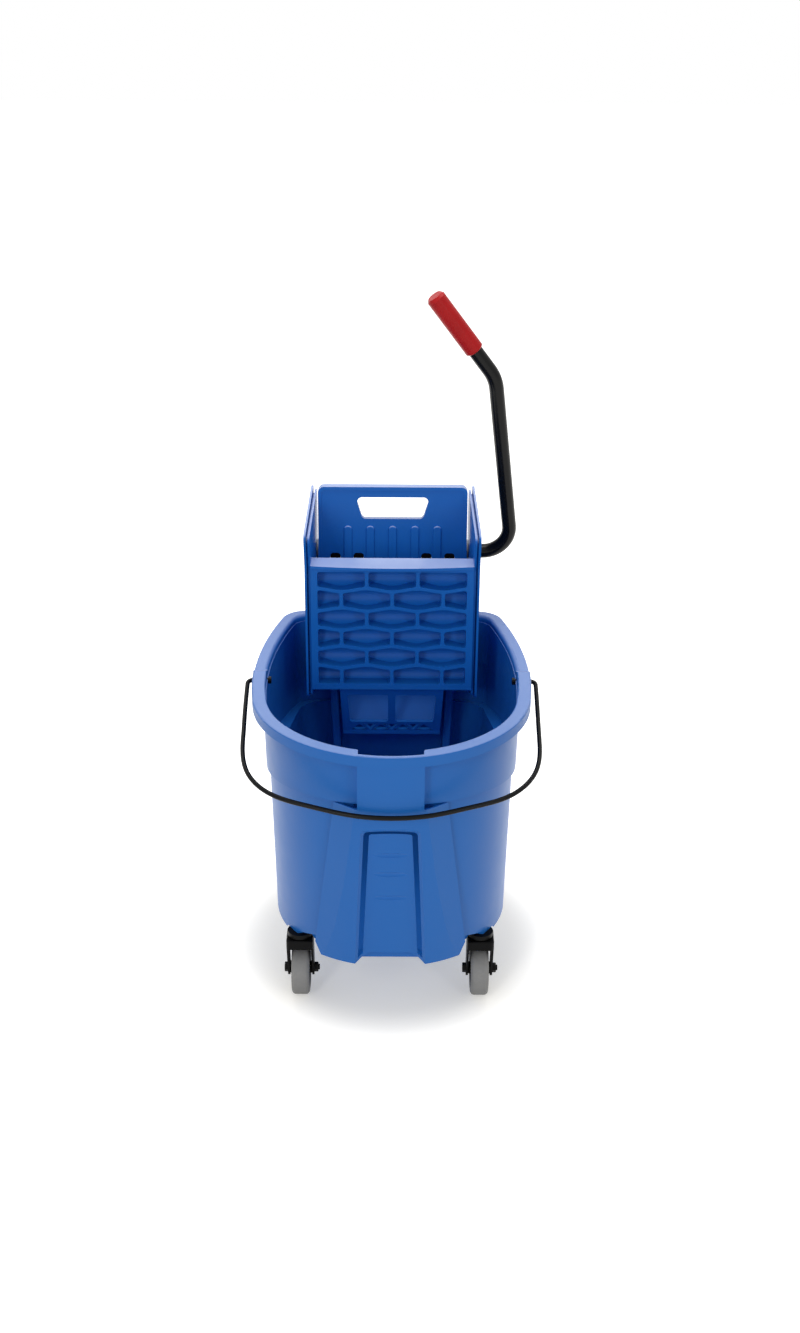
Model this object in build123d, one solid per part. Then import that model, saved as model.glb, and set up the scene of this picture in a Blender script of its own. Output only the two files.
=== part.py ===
from build123d import *
import os
from math import atan2, cos, degrees, hypot, pi, radians, sin, sqrt, tan

# Side-press mop bucket with wringer, on four swivel casters.
# Frame: X to the right, Y from the pouring front to the wringer at the back, Z up, floor at z = 0.
# All sizes are in millimetres.

# ---- bucket plan and height ----
rim_height = 434.0          # top of the front rim above the floor
rear_rim_drop = 6.0         # the rim behind the bail ears is this much lower
floor_height = 106.0        # underside of the bucket
wall = 4.0                  # moulded wall thickness
front_radius = 188.0        # round front of the rim
front_centre_y = -58.0      # centre of that round front
side_turn = 7.0             # degrees before the front's widest point where the bowed sides begin
side_back = (156.0, 228.0)  # where sides and back would meet without their rounded corner
rear_y = 244.0              # back of the rim
rear_radius = 757.0         # the back wall is slightly bowed
rear_corner = 36.0          # rim corner radius at the back
lower_corner = 62.0         # corner radius of the lower body at the back
flare = 3.5                 # how far the bowed sides stand out at the bail ears
kink_y = 8.0                # where the wide front rim ends
kink_run = 14.0             # length of the step down to the rear rim
rim_band = 18.5             # width of the flat rim band in front
rear_lip_round = 6.0        # the inner edge of the rear rim is rolled over
rim_round = 2.0             # edge rounding of the front band
kink_round = 9.0            # rounding of the step down to the rear rim
rim_skirt = 15.0            # depth of the rim's outer skirt
rim_overhang = 14.5         # rim edge to outer wall, just below the rim
upper_overhang = 22.5       # rim edge to the upper wall, carried down to the floor
lower_overhang = 19.0       # rim edge to the lower wall, carried up to the rim
base_overhang = 27.0        # rim edge to the wall at the floor
lower_taper = 6.0           # degrees, side taper of the lower body
wave_height = rim_height - 116.0    # height of the wave line above y = 0
wave_slope = 0.165          # the wave line falls towards the back
base_fillet = 7.0

# ---- front panel, spout and pilaster ----
panel_half = 43.0           # half width of the flush panel under the spout
panel_bottom = rim_height - 82.0
panel_insets = (3.0, 1.0)   # rim edge to panel face, at the panel's foot and at the rim
spout_half = 42.0           # half width of the gap in the rim band
spout_round = 6.0
pilaster_half = (76.0, 46.0)        # half width at the floor and at the panel's foot
pilaster_slope = 1.4        # how much its sides spread out towards the wall
pilaster_insets = (18.5, 7.0)
channel_half = (56.0, 44.0)         # half width of the recess at the floor and at its top
channel_top = rim_height - 109.0
channel_depth = 11.0
channel_draft = 50.0        # degrees, slope of the recess's sides
channel_corner = 8.0
groove_heights = [rim_height - drop for drop in (156.0, 186.0, 223.0)]
groove_radius = 5.0
groove_reach = 24.0
groove_depth = 1.6

# ---- reliefs that lift the bottom edge: (along the wall, height above the floor) ----
relief_reach = 146.0        # how far out from the front's centre they start
front_relief = [(-47.0, 0.0), (-25.0, 15.5), (25.0, 15.5), (47.0, 0.0)]
side_relief = [(-35.0, 0.0), (-24.0, 20.5), (-16.0, 20.5), (50.0, 0.0)]
side_relief_turn = 45.5     # degrees round the front's centre
relief_round = 4.0

# ---- guide posts on the rear wall ----
post_front = rear_y - 77.0
post_top = rim_height - 102.0
post_top_edges = (80.0, 92.0)
post_low_edges = (72.0, 84.0)

# ---- casters ----
wheel_radius = 38.1
tyre_width = 25.0
hub_radius = 28.0
axle_radius = 4.0
running_fit = 0.06          # radial clearance of a turning joint
seat_gap = 0.3              # gap between pieces that slide or turn on each other
caster_trail = 15.5
caster_turn = 54.8          # degrees round the front's centre
caster_inset = 35.0         # rim edge to the front swivel axes
caster_out = front_radius - caster_inset
front_caster = (caster_out * sin(radians(caster_turn)),
                front_centre_y - caster_out * cos(radians(caster_turn)))
rear_caster = (front_radius - 76.0, rear_y - 94.0)
fork_half = 18.5            # half width over the fork legs
fork_leg = 3.0
fork_drop = 14.0            # depth of the fork's crown
fork_boss = 11.0            # radius of the leg ends round the axle
race_radius = 17.0
race_height = 7.7
kingpin_radius = 5.0
stem_radius = 5.5
socket_radius = 9.5
corner_lift = 5.0           # the floor is this much higher over each caster
corner_clear = 19.5         # radius of that raised floor
fork_top = floor_height + corner_lift - race_height - seat_gap
stem_length = 26.0
socket_cap = 4.0

# ---- bail ----
wire_radius = 3.2
bail_pivot_y = 13.0
bail_pivot_z = rim_height - 17.0
bail_clear = 10.0           # from the rim's widest point to the bail
bail_half = front_radius + flare + bail_clear
bail_reach = 272.5
bail_sag = 14.3             # degrees below level when it hangs on the front
bail_bend = 8.0             # bend radius where the wire leaves the ears
bail_shape = [(0.985, 0.42), (0.935, 0.69), (0.762, 0.845), (0.517, 0.922), (0.246, 0.982), (0.0, 1.0)]
bail_head_x = front_radius + flare - 20.5   # inner ends of the wire, inside the wall
ear_radius = 11.0
ear_length = 13.0

# ---- wringer housing ----
side_thick = 8.0
inner_half_rear = 111.5     # half width inside, at the back
inner_half_front = 115.0    # half width inside, at the front panel
ledge_y = rear_y - 41.0     # back edge of the side plates inside the bucket
side_top_rear = (rear_y + 6.0, rim_height + 188.0)
side_top_front = (rear_y - 168.0, rim_height + 173.0)
side_front_top = (rear_y - 154.0, rim_height + 122.0)
side_front_low = (rear_y - 150.0, rim_height - 82.0)
side_low_rear = (ledge_y, rim_height - 134.0)
lip_groove = 2.2
lip_depth = 6.0
panel_front_y = rear_y - 150.0      # front face of the ribs
panel_rear_y = panel_front_y + 30.0     # pressing face
panel_top = rim_height + 122.0
panel_low = rim_height - 70.0
panel_bow = 10.0            # the top flange bows forward this much
panel_sheet = 5.0
flange_thick = 4.0
brick_rows = 6
brick_columns = 3
brick_rib = 5.0
brick_wave = 2.3            # how far the courses arch
brick_corner = 3.5
field_half = 108.0
field_top = panel_top - 7.0
field_low = panel_low + 6.0

# ---- drain trough at the foot ----
trough_front = (rear_y - 134.0, panel_low - 1.0)    # y, z of the top of the sloping grille
trough_foot = (rear_y - 94.0, rim_height - 166.0)
trough_back = (rear_y - 61.0, rim_height - 101.0)
trough_top_half = 76.0
trough_low_half = 72.0
trough_sheet = 4.0
grille_bar = 10.5
window_side = 65.0
window_rise = (rim_height - 146.0, rim_height - 90.0)
truss_rise = (rim_height - 163.0, rim_height - 150.5)
truss_rib = 3.2

# ---- press plate ----
hinge_y = rear_y - 49.0
hinge_z = rim_height - 90.0
hinge_rod_radius = 4.0
barrel_radius = 8.0
plate_half = 108.5
plate_lean = 5.7            # degrees back from upright when open
plate_length = 286.0        # hinge line to top edge
plate_front = 6.0           # pressing face ahead of the hinge line
plate_sheet = 4.0
plate_flange = 8.0          # rear flange behind the hinge line
plate_top_flange = 11.0
plate_border = 5.0
plate_bead = 1.5
hand_top = 270.5            # up the plate from the hinge
hand_low = 238.5
hand_top_half = 54.0
hand_low_half = 44.0
drain_top = 187.0
drain_height = 28.0
drain_half = 7.5
drain_offsets = (83.5, 49.5)
press_rib_pitch = 32.5
press_rib_top = 228.0
press_rib_half = 6.0
press_rib_height = 3.0
spring_gap = (29.0, 51.0)   # where the barrel is left out for a spring
spring_wire = 1.25
spring_coil = 6.6

# ---- crank and cams ----
crank_y = rear_y - 6.0
crank_z = rim_height + 89.0
tube_radius = 10.5
tube_bore = 8.5
crank_lean = 8.0            # degrees forward at rest
crank_corner = 176.0        # half width at the lower bend
crank_knee = (142.8, 276.3) # x and radius of the upper bend
crank_tip = (57.0, 394.0)
lower_bend = 38.0
upper_bend = 60.0
grip_radius = 13.4
grip_length = 97.0
grip_cap = 3.0
crank_swing = 80.0          # degrees of crank travel
press_ratio = 0.2125        # plate degrees for each crank degree
cam_gap = 0.3
cam_x = 66.0
cam_thick = 14.0
cam_hub = 16.0
pad_face = 1.0              # rubbing face behind the hinge line
pad_rise = (203.0, 241.0)
boss_radius = 17.0
boss_height = 4.0
bush_wall = 3.0
end_cap_length = 6.0
shaft_play = 0.6            # end play between the shaft's cap and the side plate's boss

# ---- rear hanger ----
hanger_top = crank_z - 57.0
hanger_front = rear_y - 18.0
hanger_back = rear_y + 7.0
hanger_sheet = 5.0
hook_gap = 1.5
hook_thick = 3.5
hook_low = rim_height - 26.0
screw_radius = 2.4
screw_head = 4.6
screw_head_height = 3.0
screw_depth = 9.0
screw_sink = 0.5            # how far the heads lie below the face of the side plate
screw_heights = (panel_low + 21.0, panel_low + 96.0, panel_top - 24.0)

far = 700.0                 # further than any piece reaches

nodes = {}


def add(name, shape):
    """Keep a finished piece under its node name."""
    nodes[name] = shape


def box(x0, x1, y0, y1, z0, z1):
    """A block given by its low and high corners."""
    size = Box(x1 - x0, y1 - y0, z1 - z0)
    return Pos((x0 + x1) / 2, (y0 + y1) / 2, (z0 + z1) / 2) * size


def rod(radius, start, end):
    """A round bar between two points."""
    start, end = Vector(*start), Vector(*end)
    axis = end - start
    plane = Plane(origin=start, z_dir=axis)
    return extrude(plane * Circle(radius), axis.length)


def side_profile(points, x0, x1):
    """A plate parallel to YZ, from its outline as (y, z) points."""
    outline = Polyline(*[(0, y, z) for y, z in points], close=True)
    face = Face(Wire(outline.edges()))
    return Pos(x0, 0, 0) * extrude(face, x1 - x0, dir=(1, 0, 0))


def mirrored(shape):
    """The same piece on the other side of the centre plane."""
    return mirror(shape, about=Plane.YZ)


# ---- bucket ----
def plan_face(height, side, mid, corner, rear, rounding):
    """Closed outline from its front circle, its right side and its bowed back."""
    front = ThreePointArc((-side[0], side[1]), (0, front_centre_y - hypot(side[0], side[1] - front_centre_y)),
                          side)
    back = ThreePointArc(corner, (0, rear), (-corner[0], corner[1]))
    right = ThreePointArc(side, mid, corner) if mid else Line(side, corner)
    left = mirror(right, about=Plane.YZ)
    face = make_face([front, right, back, left])
    rear_vertices = face.vertices().sort_by(Axis.Y)[-2:]
    return Pos(0, 0, height) * fillet(rear_vertices, rounding)


def lower_plan(height, inset):
    """Outline of the lower body at a height, set in from the rim's edge, with straight sides."""
    radius = front_radius - inset
    angle = radians(lower_taper)
    side = (radius * cos(angle), front_centre_y + radius * sin(angle))
    rear = rear_radius - inset
    centre = rear_y - rear_radius
    along = (-sin(angle), cos(angle))
    half_b = side[0] * along[0] + (side[1] - centre) * along[1]
    rest = side[0] ** 2 + (side[1] - centre) ** 2 - rear ** 2
    run = -half_b + sqrt(half_b ** 2 - rest)
    corner = (side[0] + run * along[0], side[1] + run * along[1])
    return plan_face(height, side, None, corner, rear_y - inset, lower_corner - inset / 2)


def side_arc():
    """Centre and radius of the bowed side of the rim, tangent to its round front."""
    turn = radians(side_turn)
    out = (cos(turn), -sin(turn))
    reach = (side_back[0], side_back[1] - front_centre_y)
    along = reach[0] * out[0] + reach[1] * out[1]
    square = reach[0] ** 2 + reach[1] ** 2
    radius = (square - 2 * front_radius * along + front_radius ** 2) / (2 * (front_radius - along))
    back = front_radius - radius
    return back * out[0], front_centre_y + back * out[1], radius


def rim_plan(height, inset):
    """Outline of the rim and the upper wall at a height, set in from the rim's edge."""
    x, y, bow = side_arc()
    radius, bow, rear = front_radius - inset, bow - inset, rear_radius - inset
    turn = radians(side_turn)
    side = (radius * cos(turn), front_centre_y - radius * sin(turn))
    gap_x, gap_y = -x, rear_y - rear_radius - y
    gap = hypot(gap_x, gap_y)
    along = (bow ** 2 - rear ** 2 + gap ** 2) / (2 * gap)
    across = sqrt(bow ** 2 - along ** 2)
    corner = (x + (along * gap_x - across * gap_y) / gap, y + (along * gap_y + across * gap_x) / gap)
    middle_y = (side[1] + corner[1]) / 2
    mid = (x + sqrt(bow ** 2 - (middle_y - y) ** 2), middle_y)
    return plan_face(height, side, mid, corner, rear_y - inset, rear_corner - inset / 2)


def upper_drum(low, high, inset_low, inset_high):
    """A body with the upper wall's outline, between two heights."""
    return loft([rim_plan(low, inset_low), rim_plan(high, inset_high)], ruled=True)


def lower_drum(low, high, inset_low, inset_high):
    """A body with the lower wall's outline, between two heights."""
    return loft([lower_plan(low, inset_low), lower_plan(high, inset_high)], ruled=True)


def below_line(front_z, rear_z):
    """Everything lower than a line that steps from front_z down to rear_z at the kink."""
    points = [(-far, 0.0), (-far, front_z), (kink_y, front_z), (kink_y + kink_run, rear_z), (far, rear_z),
              (far, 0.0)]
    face = make_face(Polyline(*[(0, y, z) for y, z in points], close=True))
    face = rounded(face, points[2:4], kink_round)
    return Pos(-far / 2, 0, 0) * extrude(face, far, dir=(1, 0, 0))


def wave_cut(offset):
    """Everything above the sloping wave line."""
    points = [(y, wave_height - wave_slope * y + offset) for y in (-far, far)]
    points += [(far, 2 * far), (-far, 2 * far)]
    return side_profile(points, -far / 2, far / 2)


def hull_solid(extra, low, high):
    """The bucket's form with every face moved in by extra."""
    lower = lower_drum(low, high, base_overhang + extra, lower_overhang + extra)
    upper = upper_drum(low, high, upper_overhang + extra, rim_overhang + extra)
    return lower + (upper & wave_cut(extra))


def caster_places():
    """Swivel axes of the four casters, by name."""
    fx, fy = front_caster
    rx, ry = rear_caster
    return {"front_left": (-fx, fy), "front_right": (fx, fy),
            "rear_left": (-rx, ry), "rear_right": (rx, ry)}


def at_casters(shape):
    """The same shape at all four swivel axes."""
    return [Pos(x, y, 0) * shape for x, y in caster_places().values()]


def corner_cones(extra):
    """Cones that lift the floor over the casters, grown by extra."""
    lift = corner_lift + extra
    top_radius = corner_clear + extra * 0.4
    cone = Pos(0, 0, floor_height - 1) * Cone(top_radius + lift + 1, top_radius, lift + 1,
                                              align=(Align.CENTER, Align.CENTER, Align.MIN))
    return at_casters(cone)


def front_strip(half, low, high, insets, extra=0.0):
    """A strip down the front that keeps to the rim's curve."""
    drum = upper_drum(low, high, insets[0] + extra, insets[1] + extra)
    return drum & box(-half, half, -far / 2, -front_radius / 2, low, high)


def front_face(inset):
    """How far forward the front reaches at an inset from the rim's edge."""
    return front_centre_y - front_radius + inset


def pilaster(extra=0.0):
    """The proud strip below the panel, wider at the floor, with sides that slope to the wall."""
    low, high = floor_height, panel_bottom
    spread = 20.0
    outlines = []
    for height, half, inset in zip((low, high), pilaster_half, pilaster_insets):
        edge_y = front_face(inset) + half ** 2 / front_radius / 2
        near = half - extra - pilaster_slope * spread
        back = half - extra + pilaster_slope * spread
        corners = [(-near, edge_y - spread), (near, edge_y - spread), (back, edge_y + spread),
                   (-back, edge_y + spread)]
        outlines.append(Pos(0, 0, height) * make_face(Polyline(*corners, close=True)))
    drum = upper_drum(low, high, pilaster_insets[0] + extra, pilaster_insets[1] + extra)
    return drum & loft(outlines, ruled=True)


def channel_outline(level):
    """Outline of the recess at a distance behind the pilaster's face, standing on that face."""
    shrink = level * tan(radians(channel_draft))
    top = channel_top - floor_height - shrink
    low, high = (half - shrink for half in channel_half)
    face = make_face(Polyline((-low, -10), (low, -10), (high, top), (-high, top), close=True))
    corner = max(channel_corner - shrink / 2, 1.5)
    face = fillet(face.vertices().sort_by(Axis.Y)[-2:], corner)
    lean = atan2(pilaster_insets[0] - pilaster_insets[1], panel_bottom - floor_height)
    out = Vector(0, -cos(lean), -sin(lean))
    foot = Vector(0, front_face(pilaster_insets[0]), floor_height)
    return Plane(origin=foot - out * level, x_dir=(1, 0, 0), z_dir=out) * face


def front_channel(extra=0.0):
    """Recess down the middle of the front, with three shallow grooves in its floor."""
    low = floor_height - 5
    depth = channel_depth + extra
    block = loft([channel_outline(-8.0 - extra), channel_outline(depth + 6.0 - extra)], ruled=True)
    inset_low, inset_high = (inset + depth for inset in pilaster_insets)
    cut = block - upper_drum(low, panel_bottom, inset_low, inset_high)
    if extra:
        return cut
    for height in groove_heights:
        rise = (height - low) / (panel_bottom - low)
        floor_y = front_face(inset_low + (inset_high - inset_low) * rise)
        middle = floor_y + groove_depth - groove_radius
        cut += rod(groove_radius, (-groove_reach, middle, height), (groove_reach, middle, height))
    return cut


def relief(profile, turn, extra=0.0):
    """Radial cut that lifts the bottom edge of the wall, at an angle round the front's centre."""
    first, last = profile[0], profile[-1]
    outline = Polyline((first[0], -20), *profile, (last[0], -20), close=True)
    face = make_face(outline)
    for point in profile[1:3]:
        near = face.vertices().sort_by_distance(Vector(*point))[0]
        face = fillet(near, relief_round)
    if extra:
        face = offset(face, extra, kind=Kind.INTERSECTION)
    start = Plane(origin=(0, 0, 0), x_dir=(1, 0, 0), z_dir=(0, -1, 0))
    prism = start * Pos(0, 0, relief_reach - extra) * extrude(face, far)
    return Pos(0, front_centre_y, floor_height) * Rot(0, 0, turn) * prism


def reliefs(extra=0.0):
    """The relief in the middle of the front and one beside each front caster."""
    mirror_profile = [(-x, z) for x, z in reversed(side_relief)]
    return [relief(front_relief, 0.0, extra),
            relief(side_relief, side_relief_turn, extra),
            relief(mirror_profile, -side_relief_turn, extra)]


def along_rim(front, middle, rear):
    """Join what belongs to the front rim, the step at the kink and the rear rim."""
    ends = [-far / 2, kink_y, kink_y + kink_run, far / 2]
    spans = [box(-far / 2, far / 2, y0, y1, 0, far) for y0, y1 in zip(ends, ends[1:])]
    parts = [shape & span for shape, span in zip((front, middle, rear), spans) if shape]
    return parts[0] + parts[1:]


def rim_ring(outer):
    """Flat rim band with its outer skirt, hollow underneath."""
    top, rear_top, base = rim_height, rim_height - rear_rim_drop, panel_bottom - 50
    front, middle, rear = (Pos(0, 0, base) * extrude(rim_plan(0, 0), high - base)
                           for high in (top, top, rear_top))
    front, rear = (fillet(part.edges().group_by(Axis.Z)[-1], rim_round) for part in (front, rear))
    ring = along_rim(front, middle & below_line(top, rear_top), rear)
    ring -= below_line(top - rim_skirt, rear_top - rim_skirt)
    under = Pos(0, 0, base) * extrude(rim_plan(0, wall), top - base)
    under &= below_line(top - wall, rear_top - wall)
    return ring - (under - outer)


def rolled_lip(inset, height, radius):
    """What is taken off to round the rim's inner edge at a height."""
    depth = radius + 1
    low = height - depth
    outer = rim_plan(low, inset - depth)
    ring = extrude(outer - rim_plan(low, inset), depth)
    edges = ring.faces().sort_by(Axis.Z)[-1].inner_wires()[0].edges()
    return ring - fillet(edges, radius)


def guide_posts():
    """Two upright posts on the rear wall that guide the foot of the wringer."""
    (xi, xo), (li, lo) = post_top_edges, post_low_edges
    low = floor_height + wall / 2
    outline = Polyline((xi, post_top), (xo, post_top), (lo, low), (li, low), close=True)
    face = Plane.XZ * make_face(outline)
    post = Pos(0, post_front, 0) * extrude(face, 90, dir=(0, 1, 0))
    post = fillet(post.edges().filter_by(lambda e: abs(e.center().Y - post_front) < 0.01), 2.5)
    return [post, mirrored(post)]


def bail_ear():
    """Boss under the rim that carries one end of the bail."""
    x1 = front_radius + flare
    x0 = x1 - ear_length
    boss = rod(ear_radius, (x0, bail_pivot_y, bail_pivot_z), (x1, bail_pivot_y, bail_pivot_z))
    neck = box(x0, x1, bail_pivot_y - ear_radius, bail_pivot_y + ear_radius, bail_pivot_z, rim_height)
    neck &= below_line(rim_height - 1, rim_height - rear_rim_drop - 1)
    return boss + neck


def lining(top):
    """The space inside the bucket, up to above the rim."""
    space = hull_solid(wall, floor_height, top + 30) + pilaster(wall)
    space -= front_channel(wall)
    space &= box(-far / 2, far / 2, -far / 2, far / 2, floor_height + wall, top + 30)
    space = space - corner_cones(wall) - reliefs(wall)
    band = extrude(rim_plan(top - rim_skirt, rim_band), rim_skirt + 30)
    return space + band


def stem_sockets(body, high):
    """Bosses over the casters that take the stems, kept inside the bucket's wall."""
    boss = Pos(0, 0, floor_height) * extrude(Circle(socket_radius), corner_lift + stem_length + socket_cap)
    floor = box(-far / 2, far / 2, -far / 2, far / 2, floor_height + corner_lift, high)
    return [post & floor & body for post in at_casters(boss)]


def spout_corners(shell):
    """Upright edges where the rim band ends at the spout."""
    def at_spout(edge):
        middle = edge @ 0.5
        out = hypot(middle.X, middle.Y - front_centre_y)
        return abs(abs(middle.X) - spout_half) < 0.1 and abs(out - front_radius + rim_band) < 0.1

    return shell.edges().filter_by(Axis.Z).filter_by(at_spout)


def bucket():
    """Bucket moulding: shell, rim, spout, pilaster, bail ears, caster corners and guide posts."""
    top = rim_height
    body = hull_solid(0, floor_height, top)
    outer = body + front_strip(panel_half, panel_bottom, top, panel_insets) + pilaster()
    outer = outer - corner_cones(0) - reliefs()
    inner = lining(top)
    posts = [post & inner for post in guide_posts()]
    spout = front_strip(spout_half, panel_bottom + wall, top + 30, panel_insets, wall)
    shell = outer + rim_ring(outer) + [bail_ear(), mirrored(bail_ear())]
    shell = shell - inner - spout - front_channel()
    shell = fillet(spout_corners(shell), spout_round)
    shell += posts
    shell += stem_sockets(body, top)
    shell &= below_line(top, top - rear_rim_drop)
    hole = Pos(0, 0, floor_height) * extrude(Circle(stem_radius), corner_lift + stem_length)
    shell -= at_casters(hole)
    reach = front_radius + 30
    bore = rod(wire_radius + running_fit, (-reach, bail_pivot_y, bail_pivot_z),
               (reach, bail_pivot_y, bail_pivot_z))
    near = bail_head_x - 1.5
    ends = box(-reach, -near, 0, 30, bail_pivot_z - 20, bail_pivot_z + 20)
    shell -= bore & (ends + mirrored(ends))
    rear_top = top - rear_rim_drop
    front_lip, rear_lip = rolled_lip(rim_band, top, rim_round), rolled_lip(rim_band, rear_top, rear_lip_round)
    return shell - along_rim(front_lip, None, rear_lip)


# ---- casters ----
def hexagon(flats, start, end):
    """A hexagon bar along X between two x values, centred on the axle line."""
    face = Plane.YZ * RegularPolygon(flats / 2, 6, major_radius=False)
    return Pos(start, 0, 0) * extrude(face, end - start, dir=(1, 0, 0))


def caster_fork():
    """Pressed steel fork: hood with two legs, at the swivel axis."""
    front, back = -fork_half, fork_half + 1
    hood = box(-fork_half, fork_half, front, back, fork_top - fork_drop, fork_top)
    hood = fillet(hood.edges().filter_by(Axis.Z), 5.0)
    hood = fillet(hood.edges().group_by(Axis.Z)[-1], 2.0)
    inside = fork_half - fork_leg
    hollow = box(-inside, inside, -inside, back - fork_leg, 0, fork_top - fork_leg)
    hollow = fillet(hollow.edges().filter_by(Axis.Z), 2.2)
    axle = (caster_trail, wheel_radius)
    reach = fork_boss
    knee = fork_top - fork_drop + 4
    leg = side_profile([(front + 5, knee), (back - 5, knee), (axle[0] + reach, axle[1]),
                        (axle[0] - reach, axle[1])], -fork_half, fork_half)
    leg += rod(reach, (-fork_half, *axle), (fork_half, *axle))
    leg -= box(-inside, inside, -far / 2, far / 2, 0, fork_top)
    fork = (hood - hollow) + leg
    fork -= rod(axle_radius, (-2 * fork_half, *axle), (2 * fork_half, *axle))
    return fork - Pos(0, 0, fork_top / 2) * extrude(Circle(kingpin_radius + running_fit), fork_top)


def caster_stem():
    """Swivel race with the stem above it and the kingpin below, at the swivel axis."""
    under = floor_height + corner_lift
    seat = fork_top + seat_gap
    race = Pos(0, 0, seat) * extrude(Circle(race_radius), under - seat)
    race = chamfer(race.edges().group_by(Axis.Z)[0], 1.5)
    stem = Pos(0, 0, under) * extrude(Circle(stem_radius), stem_length - 1)
    under_crown = fork_top - fork_leg
    pin = Pos(0, 0, under_crown - 2) * extrude(Circle(kingpin_radius), seat - under_crown + 3)
    head = Pos(0, 0, under_crown - seat_gap - 4) * extrude(Circle(kingpin_radius + 4), 4)
    head = fillet(head.edges().group_by(Axis.Z)[0], 1.5)
    return race + stem + pin + head


def axle_bolt():
    """Hexagon bolt through the fork legs, on the axle line."""
    shank = rod(axle_radius, (-fork_half - 1, 0, 0), (fork_half + 7.5, 0, 0))
    head = hexagon(12.0, -fork_half - 5, -fork_half)
    return shank + chamfer(head.edges().group_by(Axis.X)[0], 0.6)


def axle_nut():
    """Hexagon nut on the other end of the axle bolt."""
    nut = hexagon(12.0, fork_half, fork_half + 5.5)
    nut = chamfer(nut.edges().group_by(Axis.X)[-1], 0.6)
    return nut - rod(axle_radius, (0, 0, 0), (40, 0, 0))


def wheel_hub():
    """Moulded wheel centre: rim, web with raised ring and hub, on the axle line."""
    half = fork_half - fork_leg - seat_gap
    rim_half = tyre_width / 2 - 1.5
    outline = Polyline((axle_radius + running_fit, 0), (axle_radius + running_fit, half), (8.5, half),
                       (10.5, 5.0), (20.5, 4.0), (23.0, rim_half), (hub_radius, rim_half), (hub_radius, 0),
                       close=True)
    section = Plane.XY * make_face(outline)
    turned = revolve(section, Axis.Y)
    turned += mirror(turned, about=Plane.XZ)
    return Rot(0, 0, 90) * turned


def tyre():
    """Solid tyre with rounded shoulders, on the axle line."""
    half = tyre_width / 2
    outline = Polyline((hub_radius, -half), (wheel_radius, -half), (wheel_radius, half),
                       (hub_radius, half), close=True)
    face = make_face(outline)
    face = fillet(face.vertices().sort_by(Axis.X)[-2:], 5.5)
    return Rot(0, 0, 90) * revolve(face, Axis.Y)


def build_casters():
    """All four casters, one node for each piece."""
    for place, (x, y) in caster_places().items():
        at_swivel = Pos(x, y, 0)
        at_axle = Pos(x, y + caster_trail, wheel_radius)
        add("caster_fork_" + place, at_swivel * caster_fork())
        add("axle_bolt_" + place, at_axle * axle_bolt())
        add("axle_nut_" + place, at_axle * axle_nut())
        add("wheel_hub_" + place, at_axle * wheel_hub())
        add("tyre_" + place, at_axle * tyre())
    add("caster_stems", Compound(children=at_casters(caster_stem())))


# ---- bail ----
def bail():
    """Wire bail, hanging forward at rest, with a head on each end inside the wall."""
    inner = bail_head_x
    shoulder = (bail_half - 1.5, bail_bend)
    start = Vector(bail_half - bail_bend - 1.5, 0)
    side = [(x * bail_half, r * bail_reach) for x, r in bail_shape]
    run = [shoulder] + side + [(-x, r) for x, r in reversed(side[:-1])] + [(-shoulder[0], shoulder[1])]
    bend = TangentArc(start, shoulder, tangent=(1, 0))
    curve = Spline(*run, tangents=[(0, 1), (0, -1)])
    straight = Line((inner, 0), start)
    back = mirror(bend, about=Plane.YZ)
    other = Line((-start.X, 0), (-inner, 0))
    path = Wire([edge for part in (straight, bend, curve, back, other) for edge in part.edges()])
    path = Pos(0, bail_pivot_y, bail_pivot_z) * Rot(bail_sag, 0, 0) * Rot(180, 0, 0) * path
    wire = sweep(Plane(origin=path @ 0, z_dir=path % 0) * Circle(wire_radius), path=path)
    for end in (-1, 1):
        wire += rod(wire_radius + 1.8, (end * (inner - 3.5), bail_pivot_y, bail_pivot_z),
                    (end * (inner + 0.5), bail_pivot_y, bail_pivot_z))
    return wire


def smooth_path(points, radii):
    """A wire through corner points in the XY plane, each corner rounded by its radius."""
    corners = [Vector(*p) for p in points]
    edges = []
    last = corners[0]
    for before, at, after, radius in zip(corners, corners[1:], corners[2:], radii):
        into = (at - before).normalized()
        out = (after - at).normalized()
        turn = into.get_angle(out)
        cut = radius * tan(radians(turn) / 2)
        start, end = at - into * cut, at + out * cut
        middle = (out - into).normalized()
        centre = at + middle * (radius / cos(radians(turn) / 2))
        edges.append(Line(last, start))
        edges.append(ThreePointArc(start, centre - middle * radius, end))
        last = end
    edges.append(Line(last, corners[-1]))
    return Wire([edge.edges()[0] for edge in edges])


# ---- wringer housing ----
def inner_half(y):
    """Half width between the side plates at y."""
    slope = (inner_half_front - inner_half_rear) / (crank_y - panel_front_y)
    return inner_half_rear + slope * (crank_y - y)


def between_sides(gap=0.0):
    """The space between the side plates, closer by gap on each side."""
    y0, y1 = 0.0, far / 2
    corners = [(-inner_half(y0) + gap, y0), (inner_half(y0) - gap, y0),
               (inner_half(y1) - gap, y1), (-inner_half(y1) + gap, y1)]
    return Pos(0, 0, floor_height) * extrude(make_face(Polyline(*corners, close=True)), far)


def side_outline(shift=0.0):
    """Outline of a side plate, with its top and front edges moved in by shift."""
    top_rear = (side_top_rear[0] + 4, side_top_rear[1] - shift)
    top_front = (side_top_front[0] + shift, side_top_front[1] - shift)
    bend = (side_front_top[0] + shift, side_front_top[1] - shift)
    tip = (side_front_low[0] + shift, side_front_low[1])
    heel = (ledge_y + 2, side_low_rear[1] + 12)
    step = rim_height - 2
    return [top_rear, top_front, bend, tip, heel, (ledge_y + 2, step), (top_rear[0], step)]


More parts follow.
